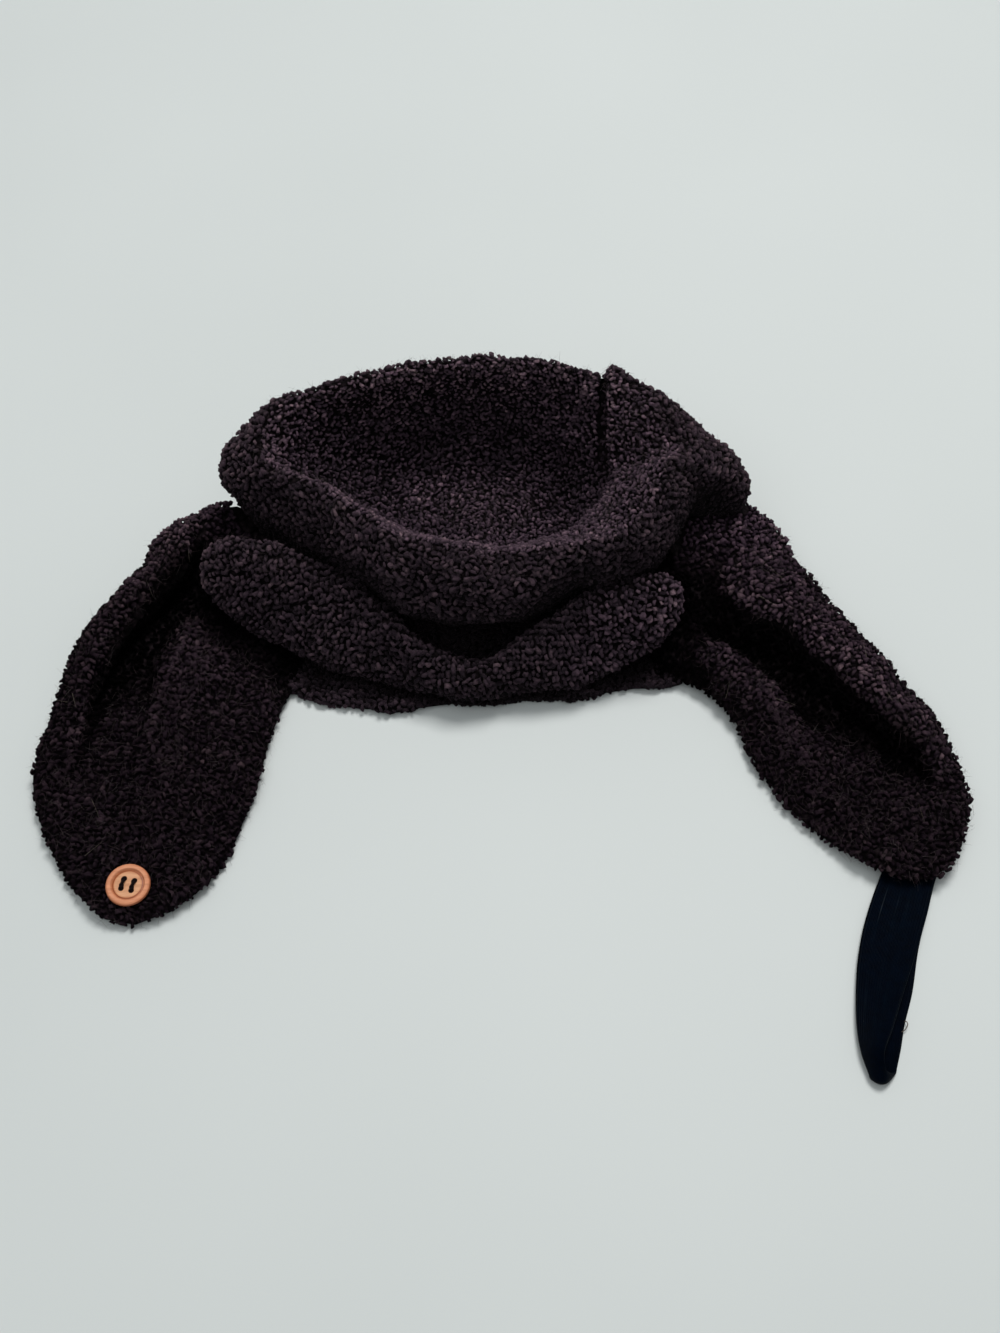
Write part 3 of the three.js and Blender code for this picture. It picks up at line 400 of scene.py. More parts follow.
# %% A flap's skin
def flap_skin(flap):
    """The sheet's thickness laid off to both sides of its middle, thinned to a round edge: the root of one
    less the sixth power of the place across. A ring runs over the top and back under it."""
    share = 1 - (1 - np.linspace(0, 1, FLAP_ALONG + 1)) ** 1.25
    across = np.linspace(0, 1, FLAP_ACROSS + 1)
    share, across = np.meshgrid(share, across, indexing="ij")
    middle = flap_middle(flap, share, across)
    up = grid_normals(middle, False)
    up = up * np.where(up[..., 2:] < 0, -1.0, 1.0)
    edge = np.sqrt(1 - np.abs(2 * across - 1) ** 6) * np.sqrt(1 - share**24)
    half = (edge * FLAP_WALL / 2)[..., None]
    top = middle + up * (half + waves(middle)[..., None])
    bottom = middle - up * half
    ring = np.concatenate((top, bottom[:, -2:0:-1]), axis=1)
    ring[..., 2] = np.maximum(ring[..., 2], 0.0)
    return ring if flap["outward"] < 0 else ring[:, ::-1]


left_skin = flap_skin(LEFT_FLAP)
button_low, button_high = (np.array(corner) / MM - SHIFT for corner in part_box("button"))
button_middle = (button_low + button_high) / 2
from_button = np.linalg.norm(left_skin[..., :2] - button_middle[:2], axis=-1)
pressed = BUTTON_DENT * (1 - smooth_step(from_button, 7.0, 15.0)) * (left_skin[..., 2] > FLAP_WALL / 2)
left_skin[..., 2] -= pressed
right_skin = flap_skin(RIGHT_FLAP)
for title, skin in (("left", left_skin), ("right", right_skin)):
    print(title, "flap from", np.round(skin.min((0, 1)), 1), "to", np.round(skin.max((0, 1)), 1), "mm")


# %% [markdown]
# ## The brim's surface
# The front brim is a double layer of knit, turned up and puffed. Its section is a rounded bar that leans
# back from its foot to its top edge, and the table carries that section from one rounded end to the other.

# %% The brim's table and skin
BRIM_THICKNESS, BRIM_END = 13.0, 14.0  # millimetres: of the double layer, and of each rounded end
BRIM_STEPS, BRIM_SIDES = 200, 72
BRIM_COLUMNS = ("at", "foot_y", "foot_up", "top_y", "top_up")
BRIM_ROWS = np.array([
    (-1.17, -0.52, 0.32, -0.26, 0.56),
    (-1.00, -0.64, 0.22, -0.28, 0.58),
    (-0.80, -0.76, 0.14, -0.34, 0.54),
    (-0.55, -0.90, 0.10, -0.47, 0.48),
    (-0.28, -1.00, 0.08, -0.80, 0.33),
    (-0.05, -1.02, 0.08, -0.90, 0.26),
    (0.15, -1.00, 0.08, -0.79, 0.33),
    (0.38, -0.95, 0.10, -0.58, 0.46),
    (0.60, -0.84, 0.16, -0.50, 0.52),
    (0.80, -0.68, 0.26, -0.47, 0.52),
])


def brim_skin_grid(steps, sides):
    """Rounded sections along x: a superellipse about the middle of foot and top, shrunk to a point at both
    ends."""
    first, last = BRIM_ROWS[0, 0], BRIM_ROWS[-1, 0]
    x = first + (last - first) * (1 - np.cos(np.pi * np.linspace(0, 1, steps + 1))) / 2
    read = read_table(BRIM_ROWS, BRIM_COLUMNS, x)
    foot = np.stack((x * HALF_WIDTH, read["foot_y"] * HALF_DEPTH, read["foot_up"] * HEIGHT), -1)
    top = np.stack((x * HALF_WIDTH, read["top_y"] * HALF_DEPTH, read["top_up"] * HEIGHT), -1)
    to_end = np.minimum(x - first, last - x) * HALF_WIDTH
    full = np.sqrt(1 - (1 - np.clip(to_end / BRIM_END, 0, 1)) ** 2)[:, None]
    lean = (top - foot) / 2
    face = np.stack((np.zeros_like(x), -lean[:, 2], lean[:, 1]), -1)
    face = face / np.linalg.norm(face, axis=1, keepdims=True) * BRIM_THICKNESS / 2
    turn = 2 * np.pi * np.arange(sides) / sides
    c, s = (np.sign(f) * np.abs(f) ** power for f, power in ((np.cos(turn), 0.7), (np.sin(turn), 0.8)))
    middle = (foot + top) / 2 + np.append(CENTRE, 0.0)
    return middle[:, None] + full[:, None] * (lean[:, None] * c[:, None] + face[:, None] * s[:, None])


# The waves fade out towards the brim's two ends, where its section shrinks to a point.
brim_full = np.sin(np.pi * np.linspace(0, 1, BRIM_STEPS + 1))[:, None, None] ** 0.5
brim_skin = brim_skin_grid(BRIM_STEPS, BRIM_SIDES)[:, ::-1]
brim_skin = brim_skin + (grid_normals(brim_skin, True) * waves(brim_skin)[..., None]) * brim_full
print("brim from", np.round(brim_skin.min((0, 1)), 1), "to", np.round(brim_skin.max((0, 1)), 1), "mm")

# %% [markdown]
# ## The wool's finish
# The yarn is a dark aubergine wool with a curly pile: matt, a little paler where its hairs stand in the light,
# and almost black in the gaps. A photo texture could show it. Nodes keep it sharp at any distance: one
# attribute gives each stitch its own shade, which also carries a painted highlight on the ridges, a second
# paints shade at its roots, a third paints the light and the shade of its part and its fold, and noises make
# the hairs' fine relief.


# %% Helpers for finishes
class Finish:
    """A material with one Principled shader, whose constants are set on its own sockets, and short ways to
    add the nodes whose values change over the surface."""

    def __init__(self, name, roughness, sheen=0.0, sheen_roughness=0.5, specular=0.5):
        self.material = bpy.data.materials.new(name)
        self.material.use_nodes = True
        self.tree = self.material.node_tree
        self.shader = self.tree.nodes["Principled BSDF"]
        for socket, value in (("Roughness", roughness), ("Sheen Weight", sheen),
                              ("Sheen Roughness", sheen_roughness), ("Specular IOR Level", specular)):
            self.shader.inputs[socket].default_value = value

    def node(self, kind, inputs, **settings):
        """A node of a kind, with its settings. Each input is linked to an output, or set to a constant."""
        node = self.tree.nodes.new("ShaderNode" + kind)
        for setting, value in settings.items():
            setattr(node, setting, value)
        for socket, value in inputs.items():
            if isinstance(value, bpy.types.NodeSocket):
                self.tree.links.new(value, node.inputs[socket])
            else:
                node.inputs[socket].default_value = value
        return node

    def place(self):
        """The object's own coordinates, in metres."""
        return self.node("TexCoord", {}).outputs["Object"]

    def attribute(self, name, output="Fac"):
        """A value that the mesh carries at each of its points."""
        return self.node("Attribute", {}, attribute_name=name).outputs[output]

    def noise(self, scale, detail=3.0, roughness=0.55, stretch=(1.0, 1.0, 1.0)):
        """A noise on the object's own coordinates: `scale` is about the number of spots in a metre."""
        stretched = self.node("Mapping", {"Vector": self.place(), "Scale": stretch}).outputs["Vector"]
        return self.node("TexNoise", {"Vector": stretched, "Scale": scale, "Detail": detail,
                                      "Roughness": roughness}).outputs["Fac"]

    def ramp(self, value, *stops):
        """A colour ramp from a value, with stops of a place and a linear colour."""
        node = self.node("ValToRGB", {"Fac": value})
        while len(node.color_ramp.elements) < len(stops):
            node.color_ramp.elements.new(0.5)
        for element, (place, colour) in zip(node.color_ramp.elements, stops):
            element.position = place
            element.color = (*colour, 1.0)
        return node.outputs["Color"]

    def math(self, kind, a, b=0.0):
        """One step of arithmetic on two values, each a node's output or a number."""
        return self.node("Math", {0: a, 1: b}, operation=kind).outputs["Value"]

    def times(self, a, b):
        """Two colours multiplied."""
        return self.node("Mix", {"Factor": 1.0, "A": a, "B": b}, data_type="RGBA",
                         blend_type="MULTIPLY").outputs["Result"]

    def paint(self, colour):
        """The colour of the surface."""
        self.tree.links.new(colour, self.shader.inputs["Base Color"])

    def relief(self, height, distance, strength=1.0, under=None):
        """A bump of a height value, its full depth in metres, laid over an earlier bump where one is
        given."""
        inputs = {"Strength": strength, "Distance": distance, "Height": height}
        if under is not None:
            inputs["Normal"] = under
        normal = self.node("Bump", inputs).outputs["Normal"]
        self.tree.links.new(normal, self.shader.inputs["Normal"])
        return normal


# %% The yarn's finish
def yarn_finish(name, sheen, specular):
    """Shade of the stitch, plus slow and quick noises, through a ramp from near black to a dusty aubergine.
    The lift attribute paints shade at each knot's roots and a highlight at its top, and the light attribute
    paints the light and the shade of its part and of the fold it lies in."""
    finish = Finish(name, 0.92, sheen, 0.36, specular)
    finish.shader.inputs["Sheen Tint"].default_value = (0.80, 0.60, 0.72, 1.0)
    mixed = finish.math("MULTIPLY", finish.attribute("shade"), 0.5)
    for noise, share in ((finish.noise(45.0, 2.0), 0.25), (finish.noise(1500.0, 4.0, 0.7), 0.35)):
        mixed = finish.math("ADD", mixed, finish.math("MULTIPLY", noise, share))
    colour = finish.ramp(mixed, (0.25, (0.008, 0.0050, 0.0078)), (0.48, (0.022, 0.0140, 0.0200)),
                         (0.68, (0.043, 0.0275, 0.0365)), (0.95, (0.110, 0.074, 0.083)))
    # Painted shade, near black at each knot's roots, and a painted highlight at its top, read from the lift
    # attribute.
    depth = finish.ramp(finish.attribute("lift"), (0.12, (0.03, 0.03, 0.04)), (0.5, (0.36, 0.36, 0.39)),
                        (1.0, (1.36, 1.33, 1.33)))
    finish.paint(finish.times(colour, finish.times(depth, finish.attribute("light", "Color"))))
    fine = finish.relief(finish.noise(2600.0, 4.0, 0.75), 0.0009)
    finish.relief(finish.noise(850.0, 3.0, 0.6), 0.0022, 0.9, fine)
    return finish


# %% The ground's and the fuzz's finishes
def ground_finish():
    """The cloth between and behind the stitches, painted nearly black as the shade in the gaps and darkest
    between its small knots, with rows of small knots as bump.
    """
    finish = Finish("knit_ground_painted_dark_as_shade", 0.96, sheen=0.01, specular=0.015)
    spots = finish.node("TexVoronoi", {"Scale": 290.0, "Vector": finish.place()}).outputs["Distance"]
    # Painted shade: the ground is near black, and darkest at the edges of its knots.
    finish.paint(finish.ramp(spots, (0.15, (0.017, 0.0115, 0.014)), (0.6, (0.004, 0.003, 0.0035))))
    first = finish.relief(finish.math("SUBTRACT", 1.0, spots), 0.0022)
    finish.relief(finish.noise(2200.0, 4.0, 0.7), 0.0005, 0.8, first)
    return finish


def fuzz_finish(name, dark, light):
    """Single hairs: paler or darker from hair to hair by their shade."""
    finish = Finish(name, 0.75, sheen=0.1, specular=0.1)
    finish.paint(finish.ramp(finish.attribute("shade"), (0.0, dark), (1.0, light)))
    return finish


yarn = yarn_finish("aubergine_boucle_yarn", 0.17, 0.07)
# The flaps get a copy of the yarn with almost no sheen or gloss, so that the shade painted on them can go
# nearly black.
low_sheen_yarn = yarn_finish("low_sheen_boucle_yarn", 0.015, 0.012)
ground = ground_finish()
fuzz = fuzz_finish("wool_hairs", (0.016, 0.0105, 0.013), (0.095, 0.066, 0.071))
stray = fuzz_finish("pale_stray_hairs", (0.14, 0.11, 0.09), (0.34, 0.29, 0.24))
print("finishes:", [finish.material.name for finish in (yarn, low_sheen_yarn, ground, fuzz, stray)])

# %% [markdown]
# ## The ground under the stitches
# Between the stitches one looks into the cloth itself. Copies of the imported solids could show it, but they
# are coarse. The same surfaces that carry the stitches, drawn in by almost a millimetre and closed at both
# ends, make a fine shell for each piece of knit.

# %% A closed shell from rings
SINK, LIFT_OFF = 0.8, 0.2  # millimetres that the ground lies under the stitches' level, and over the table


def closed_rings(rings, first=None, last=None):
    """Points and faces of rings side by side, with a fan at each end about a given point or the ring's
    middle. Every face turns the same way round, so that all point outwards."""
    rows, columns = rings.shape[:2]
    first, last = (ring.mean(0) if point is None else point
                   for ring, point in ((rings[0], first), (rings[-1], last)))
    around = np.arange(columns)
    beside = (around + 1) % columns
    end = (rows - 1) * columns
    fans = [np.stack((np.full(columns, rows * columns), around, beside), -1),
            np.stack((np.full(columns, rows * columns + 1), end + beside, end + around), -1)]
    return np.concatenate((rings.reshape(-1, 3), [first], [last])), [grid_faces(rows, columns, True), *fans]


def ground_shell(node, rings, first=None, last=None):
    """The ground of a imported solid, which it replaces, just clear of the table."""
    points, faces = closed_rings(rings, first, last)
    points[:, 2] = np.maximum(points[:, 2], LIFT_OFF)
    piece = make_piece(node + "_ground", points, faces, ground)
    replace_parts(piece, node)
    return piece


# %% The crown's shell
GROUND_ROWS = 84
outer = spaced_evenly(crown_skin, GROUND_ROWS)[:, ::THIN_OUT]
outer = outer - with_pole(grid_normals(outer, True)) * SINK
crown_rings = np.concatenate((outer[1:], crown_lining[:0:-1]))
crown_cloth = ground_shell("crown", crown_rings, outer[0, 0], crown_lining[0, 0])


# %% The shells of the brim and the flaps
def drawn_in_shell(node, skin):
    """A shell of a skin's rings, drawn in along its normals, without the last ring at each end, which is a
    line or a point."""
    return ground_shell(node, (skin - grid_normals(skin, True) * SINK)[1:-1])


brim_cloth = drawn_in_shell("front_brim", brim_skin[::2, ::2])
left_cloth = drawn_in_shell("left_ear_flap", left_skin[::2, ::2])
right_cloth = drawn_in_shell("right_ear_flap", right_skin[::2, ::2])

# %% [markdown]
# ## The stitches
# On the real hat each stitch of the curly yarn shows as a small knot, about 3 mm across, short, bent and
# lumpy, with a dark pit beside it. Displacement could raise lumps, but their edges would stay soft and their
# outlines smooth. Here each stitch is a bent lump of its own, and thousands are joined into one mesh by
# whole-array arithmetic.


# %% A grid read between its points
def at_share(grid, down, along, closed):
    """The weighted mean of the four grid points nearest to a share down and a share along."""
    rows, columns = grid.shape[:2]
    r = np.clip(down, 0, 1) * (rows - 1)
    c = np.mod(along, 1.0) * columns if closed else np.clip(along, 0, 1) * (columns - 1)
    r0, c0 = np.minimum(r.astype(int), rows - 2), np.minimum(c.astype(int), columns - 1)
    c1 = (c0 + 1) % columns if closed else np.minimum(c0 + 1, columns - 1)
    fr, fc = (r - r0)[:, None], (c - c0)[:, None]
    upper = grid[r0, c0] * (1 - fc) + grid[r0, c1] * fc
    lower = grid[r0 + 1, c0] * (1 - fc) + grid[r0 + 1, c1] * fc
    return upper * (1 - fr) + lower * fr


# %% Rows of stitches on a surface
def knit_rows(skin, row_gap, stitch_gap, loose, rng):
    """Rows at equal distances down the grid, and in each row as many stitches as fit along its own length,
    every second row set off by half. Each place strays by up to the share `loose` of a gap. Gives shares
    down and along."""
    rows_down = np.linalg.norm(np.diff(skin, axis=0), axis=2).sum(0)
    rows = int(round(np.percentile(rows_down, 60) / row_gap))
    columns = skin.shape[1]
    down, along = [], []
    for row in range(rows):
        share = (row + 0.5) / rows
        line = at_share(skin, np.full(columns, share), np.arange(columns) / columns, True)
        line = np.concatenate((line, line[:1]))
        length = np.concatenate(([0.0], np.cumsum(np.linalg.norm(np.diff(line, axis=0), axis=1))))
        count = max(int(round(length[-1] / stitch_gap)), 1)
        places = (np.arange(count) + 0.5 * (row % 2) + rng.uniform(-loose, loose, count)) / count % 1.0
        along.append(np.interp(places * length[-1], length, np.arange(columns + 1) / columns))
        down.append(share + rng.uniform(-loose, loose, count) / rows)
    return np.clip(np.concatenate(down), 0, 1), np.concatenate(along)


# %% Where each stitch lies and which way it faces
EVEN_ROWS, STEP_ALONG = 240, 0.004  # rows of the evened grid, and the share of a row that gives its direction


def stitch_frames(skin, row_gap, stitch_gap, loose, seed):
    """Place, outward normal and direction along the row for each stitch of a surface that closes round its
    columns."""
    rng = np.random.default_rng(seed)
    even = spaced_evenly(skin, EVEN_ROWS)
    down, along = knit_rows(even, row_gap, stitch_gap, loose, rng)
    place, normal = at_share(even, down, along, True), at_share(grid_normals(even, True), down, along, True)
    normal /= np.maximum(np.linalg.norm(normal, axis=1, keepdims=True), 1e-9)
    ahead = at_share(even, down, along + STEP_ALONG, True) - at_share(even, down, along - STEP_ALONG, True)
    ahead -= normal * (ahead * normal).sum(1, keepdims=True)
    ahead /= np.maximum(np.linalg.norm(ahead, axis=1, keepdims=True), 1e-9)
    return place, normal, ahead


# %% One knot
KNOT_RINGS, KNOT_SIDES = 4, 4
RING_REACH = 1.15  # radians to both sides, whose sine spaces the rings


def tube_template(rings, sides):
    """A tube of rings between two end points: how far along each point is, its turn round the tube, and the
    faces."""
    t = np.concatenate(([-1.0], np.repeat(np.sin(np.linspace(-RING_REACH, RING_REACH, rings)), sides), [1.0]))
    turn = np.concatenate(([0.0], np.tile(2 * np.pi * np.arange(sides) / sides, rings), [0.0]))
    side = np.arange(sides)
    beside = (side + 1) % sides
    first_ring = np.stack((side, beside, beside + sides, side + sides), -1) + 1
    quads = np.concatenate([first_ring + k * sides for k in range(rings - 1)])
    last = 1 + (rings - 1) * sides
    ends = np.concatenate((np.stack((np.zeros(sides, int), beside + 1, side + 1), -1),
                           np.stack((np.full(sides, last + sides), last + side, last + beside), -1)))
    return t, turn, [quads, ends]


def copies(template, corners, count):
    """The template's faces once for each copy, with the corners counted on."""
    base = (np.arange(count) * corners)[:, None, None]
    return [(part[None] + base).reshape(-1, part.shape[1]) for part in template]


# %% Thousands of knots
# The limits that the knots' measures are drawn from, in shares, radians and millimetres, and their spreads.
KNOT_SIZE, KNOT_SWEEP, KNOT_LENGTH, KNOT_THICK = (0.8, 1.2), (0.6, 4.0), (2.7, 4.7), (0.88, 1.34)
KNOT_TURN, KNOT_TIP, KNOT_LIFT, KNOT_LUMPS = 0.85, 0.36, (-0.7, 0.5), (0.15, 0.19)


def turned(a, b, angle):
    """Two directions turned in their own plane by an angle for each stitch."""
    c, s = np.cos(angle)[:, None], np.sin(angle)[:, None]
    return a * c + b * s, b * c - a * s


def knots(place, normal, ahead, rng, size):
    """Bent lumps on a surface. Each follows an arc of a circle, from a slight bend to most of a ring, that
    is turned in the surface and tipped out of it. Its thickness is the root of one less the power 2.6 of the
    way along."""
    t, turn, template = tube_template(KNOT_RINGS, KNOT_SIDES)
    count = len(place)
    draw = lambda low, high: rng.uniform(low, high, count)[:, None]
    size = np.broadcast_to(size, count)[:, None] * draw(*KNOT_SIZE)
    sweep, length, thick = draw(*KNOT_SWEEP), size * draw(*KNOT_LENGTH), size * draw(*KNOT_THICK)
    first, second = turned(np.cross(normal, ahead), ahead, rng.normal(0.0, KNOT_TURN, count))
    second, upward = turned(second, normal, rng.normal(0.0, KNOT_TIP, count))
    first, upward = turned(first, upward, rng.normal(0.0, KNOT_TIP, count))
    radius, angle = length / sweep, sweep * t / 2
    across = radius * (np.cos(angle) - np.sin(sweep / 2) / (sweep / 2))
    swell = np.sqrt(np.maximum(1 - np.abs(t) ** 2.6, 0.0))
    oval, rough = KNOT_LUMPS
    lumps = 1 + oval * np.sin(2 * turn + draw(0, 6.3)) + rng.normal(0, rough, (count, len(t)))
    tube = thick * swell * np.clip(lumps, 0.5, 1.5)
    inward, raised = across + tube * np.cos(turn) * np.cos(angle), tube * np.sin(turn)
    onward = radius * np.sin(angle) + tube * np.cos(turn) * np.sin(angle)
    height = size * (0.5 * (1 - t**2) + draw(*KNOT_LIFT))
    points = (place[:, None] + first[:, None] * inward[..., None] + second[:, None] * onward[..., None]
              + upward[:, None] * raised[..., None] + normal[:, None] * height[..., None])
    level = ((points - place[:, None]) * normal[:, None]).sum(-1) / size
    return points.reshape(-1, 3), copies(template, len(t), count), np.clip((level + 0.9) / 2.8, 0, 1).ravel()


# %% [markdown]
# ## Which stitches stay
# A surface runs on where another piece covers it, as a flap's root does inside the crown. A stitch there
# would poke through, so the places are tested first: inside the crown's profile, inside a flap, or under the
# cloth.

# %% Tests of a place against the crown and the flaps
SECTIONS, SECTION_STEPS = 720, 160
crown_sections, crown_reach = crown_profiles(np.arange(SECTIONS) * (360 / SECTIONS), SECTION_STEPS)


def inside_crown(place, margin):
    """True within the crown: the place's share of the oval's radius is under the profile's widest share
    above it."""
    x, y = (place[:, 0] - CENTRE[0]) / HALF_WIDTH, (place[:, 1] - CENTRE[1]) / HALF_DEPTH
    column = (np.degrees(np.arctan2(y, x)) % 360.0 * (SECTIONS / 360)).astype(int) % SECTIONS
    up, out = crown_sections[:, column, 1], crown_sections[:, column, 0]
    widest = np.where(up >= place[:, 2] - 1.0, out, 0.0).max(0)
    return np.hypot(x, y) * crown_reach[column] < widest + margin


def inside_flap(place, flap, margin):
    """True within a flap: the place is turned to the flap's own length and width, and set against its
    thickness."""
    turn = np.radians(flap["turn"])
    x = place[:, 0] - CENTRE[0] - flap["x"] * HALF_WIDTH
    y = place[:, 1] - CENTRE[1] - flap["y"] * HALF_DEPTH
    share = (np.sin(turn) * x - np.cos(turn) * y) / flap["length"] + flap["behind"]
    edge = (np.cos(turn) * x + np.sin(turn) * y) * flap["outward"] / flap["half_width"]
    safe = np.clip(share, 0, 1)
    outer_edge, inner_edge = (follow(flap["rows"][:, 0], flap["rows"][:, k], safe) for k in (1, 2))
    across = (outer_edge - edge) / (outer_edge + inner_edge)
    level = flap_middle(flap, safe, np.clip(across, 0, 1))[:, 2]
    within = (share > 0) & (share < 1) & (across > 0) & (across < 1)
    return within & (np.abs(place[:, 2] - level) < FLAP_WALL / 2 + margin)


# %% [markdown]
# ## How deep in a fold each stitch lies
# In the folds hardly any light comes in, so the wool looks black there, and on the ridges it looks paler. The
# light alone gives part of that. The rest is painted into the stitches' colour, as painted shade in the folds
# and a painted highlight on the ridges, from a height map of the whole hat: from each stitch one looks in
# sixteen directions for the steepest cloth above it, and compares its height with the mean there.

# %% The height map
CELL, MAP_LOW, MAP_CELLS = 1.5, np.array([-240.0, -110.0]), (340, 220)  # the first two in millimetres
height_map = np.zeros(MAP_CELLS)
for skin in (crown_skin, left_skin, right_skin, brim_skin):
    dense = skin.reshape(-1, 3)
    cell = ((dense[:, :2] - MAP_LOW) / CELL).astype(int)
    inside = ((cell >= 0) & (cell < height_map.shape)).all(1)
    np.maximum.at(height_map, tuple(cell[inside].T), dense[inside, 2])
print("height map up to", round(float(height_map.max()), 1), "mm")

# %% The open sky and the rise above the neighbourhood
LOOK_WAYS, LOOK_REACHES = 16, (4.0, 6.0, 9.0, 13.0, 18.0, 26.0)  # directions, and millimetres along each
LOOK_SLACK = 1.0  # millimetres that the cloth may stand higher without closing the sky


def look_round(place):
    """The open sky is one less the mean of the squared sine of the steepest slope in each direction. The
    rise is the height above the mean of the map, in millimetres."""
    closed_share, mean = np.zeros(len(place)), np.zeros(len(place))
    for turn in np.arange(LOOK_WAYS) * 2 * np.pi / LOOK_WAYS:
        steepest = np.zeros(len(place))
        for reach in LOOK_REACHES:
            spot = place[:, :2] + reach * np.array([np.cos(turn), np.sin(turn)])
            cell = np.clip(((spot - MAP_LOW) / CELL).astype(int), 0, np.array(height_map.shape) - 1)
            level = height_map[tuple(cell.T)]
            steepest = np.maximum(steepest, (level - place[:, 2] - LOOK_SLACK) / reach)
            mean += level / (LOOK_WAYS * len(LOOK_REACHES))
        closed_share += steepest**2 / (1 + steepest**2) / LOOK_WAYS
    return 1 - closed_share, place[:, 2] - mean


# %% The stitches of a part
EDGE_IN, EDGE_SHRINK = 1.3, 0.12  # at an edge: millimetres further in, and a share taken off the size
TABLE_CLEAR = 0.05  # millimetres
CROWN_FOLDS = ((0.40, 0.60, 0.90), (0.02, 0.34, 1.0))  # open sky, and the share of the light left there
BOWL_FOLDS = ((0.2, 0.9), (0.5, 1.0))
FLAP_FOLDS = ((0.66, 0.86, 0.95), (0.01, 0.14, 1.0))


def stitches(name, frames, keep, seed, folds, part_light, finish, size=1.0, least=0.0):
    """The kept stitches of a surface, joined into one mesh, with nothing under the table. Their light, painted
    into their colour, is the part's painted light times the share that the table of folds gives for their open
    sky, or times the least share."""
    place, normal, ahead = (each[keep] for each in frames)
    part_light, least = (np.broadcast_to(each, len(keep))[keep] for each in (part_light, least))
    rng = np.random.default_rng(seed)
    edge = 1 - smooth_step(normal[:, 2], 0.0, 0.6)
    settled = place - normal * EDGE_IN * edge[:, None]
    points, faces, lift = knots(settled, normal, ahead, rng, size * (1 - EDGE_SHRINK * edge))
    points[:, 2] = np.maximum(points[:, 2], TABLE_CLEAR)
    sky, rise = look_round(place)
    # Each stitch's shade is random, and paler the higher it stands above the mean around it: a painted
    # highlight on ridges and painted shade in hollows.
    shade = np.clip(rng.normal(0.46, 0.2, len(place)) + 0.026 * np.clip(rise, -8, 12), 0, 1)
    light = np.maximum(np.interp(sky, *folds), least) * part_light
    each = len(points) // len(place)
    print(f"{len(place)} stitches in {name}, light {light.min():.2f} to {light.max():.2f}")
    return make_piece(name, points, faces, finish,
                      {"shade": np.repeat(shade, each), "lift": lift, "light": np.repeat(light, each)})


ROW_GAP, STITCH_GAP = 2.52, 2.9  # millimetres
FINE = 0.76  # the bowl's stitches are stretched and finer than the others by this

# %% The crown's stitches
BOWL_ROWS = 150  # of the crown's skin, from the bowl's middle to past the crest
SLOT_HALF, SLOT_FROM, SLOT_TO = 1.3, 120, 149  # millimetres
fine_frames = stitch_frames(crown_skin[:BOWL_ROWS], ROW_GAP * FINE, STITCH_GAP * FINE, 0.45, 10)
crown_frames = stitch_frames(crown_skin, ROW_GAP, STITCH_GAP, 0.32, 11)


def in_bowl(frames):
    """Inside the rim: high up, facing up, and towards the middle of the oval."""
    place, normal, _ = frames
    outward = place[:, :2] - CENTRE
    return (normal[:, 2] > 0) & ((normal[:, :2] * outward).sum(1) < 6.0) & (place[:, 2] > BOWL_FLOOR - 5)


def out_of_slot(frames):
    """Clear of the bottom of the crease."""
    x, y = frames[0][:, 0] - CREASE_X, frames[0][:, 1]
    return (np.abs(x) > SLOT_HALF) | (y < SLOT_FROM) | (y > SLOT_TO)


from_centre = crown_frames[0][:, :2] - CENTRE
behind = np.degrees(np.arctan2(from_centre[:, 1], from_centre[:, 0])) % 360 < 180
outside = ~in_bowl(crown_frames) & out_of_slot(crown_frames)
bowl_keep = in_bowl(fine_frames) & out_of_slot(fine_frames)
# The numbers 5.0, 2.1 and 2.0 are the light painted on the bowl, the back and the front of the crown: the bowl
# is painted brightest.
crown_top = stitches("crown_stitches_top", fine_frames, bowl_keep, 21, BOWL_FOLDS, 5.0, yarn, FINE)
crown_back = stitches("crown_stitches_back", crown_frames, outside & behind, 22, CROWN_FOLDS, 2.1, yarn)
crown_front = stitches("crown_stitches_front", crown_frames, outside & ~behind, 23, CROWN_FOLDS, 2.0, yarn)

# %% The stitches of the flaps and the brim
LOOSE = 0.3  # share of a gap that a stitch strays by
left_frames, right_frames, brim_frames = (
    stitch_frames(skin, ROW_GAP, STITCH_GAP, LOOSE, seed)
    for skin, seed in ((left_skin, 12), (right_skin, 13), (brim_skin, 14)))
BARE_UNDER_BUTTON = 8.6  # millimetres round the button's middle
UP_AND_FRONT = np.array([0.0, -0.5, 0.87])


def flap_keep(frames):
    """Stitches on the top and the edges of a flap that neither the crown nor the button covers."""
    place, normal, _ = frames
    from_button = np.linalg.norm(place[:, :2] - button_middle[:2], axis=1)
    on_top = (normal[:, 2] > -0.4) & (place[:, 2] > 0.9)
    return on_top & ~inside_crown(place, 0.2) & (from_button > BARE_UNDER_BUTTON)


# The brim's back lies against the crown, so no stitch is laid where it faces away from the front and the top.
brim_keep = ~inside_crown(brim_frames[0], -1.0) & (brim_frames[1] @ UP_AND_FRONT > -0.45)
for flap in (LEFT_FLAP, RIGHT_FLAP):
    brim_keep &= ~inside_flap(brim_frames[0], flap, -0.5)


# %% The painted light of the flaps and the brim
def fold_shade(place, start, end, reach, depth):
    """What a deep fold leaves of the light: one less the depth times a bell over the distance from a line in
    plan."""
    start, way = np.array(start), np.array(end) - np.array(start)
    along = np.clip((place[:, :2] - start) @ way / (way @ way), 0, 1)
    far = np.linalg.norm(place[:, :2] - start - along[:, None] * way, axis=1)
    return 1 - depth * np.exp(-((far / reach) ** 2))


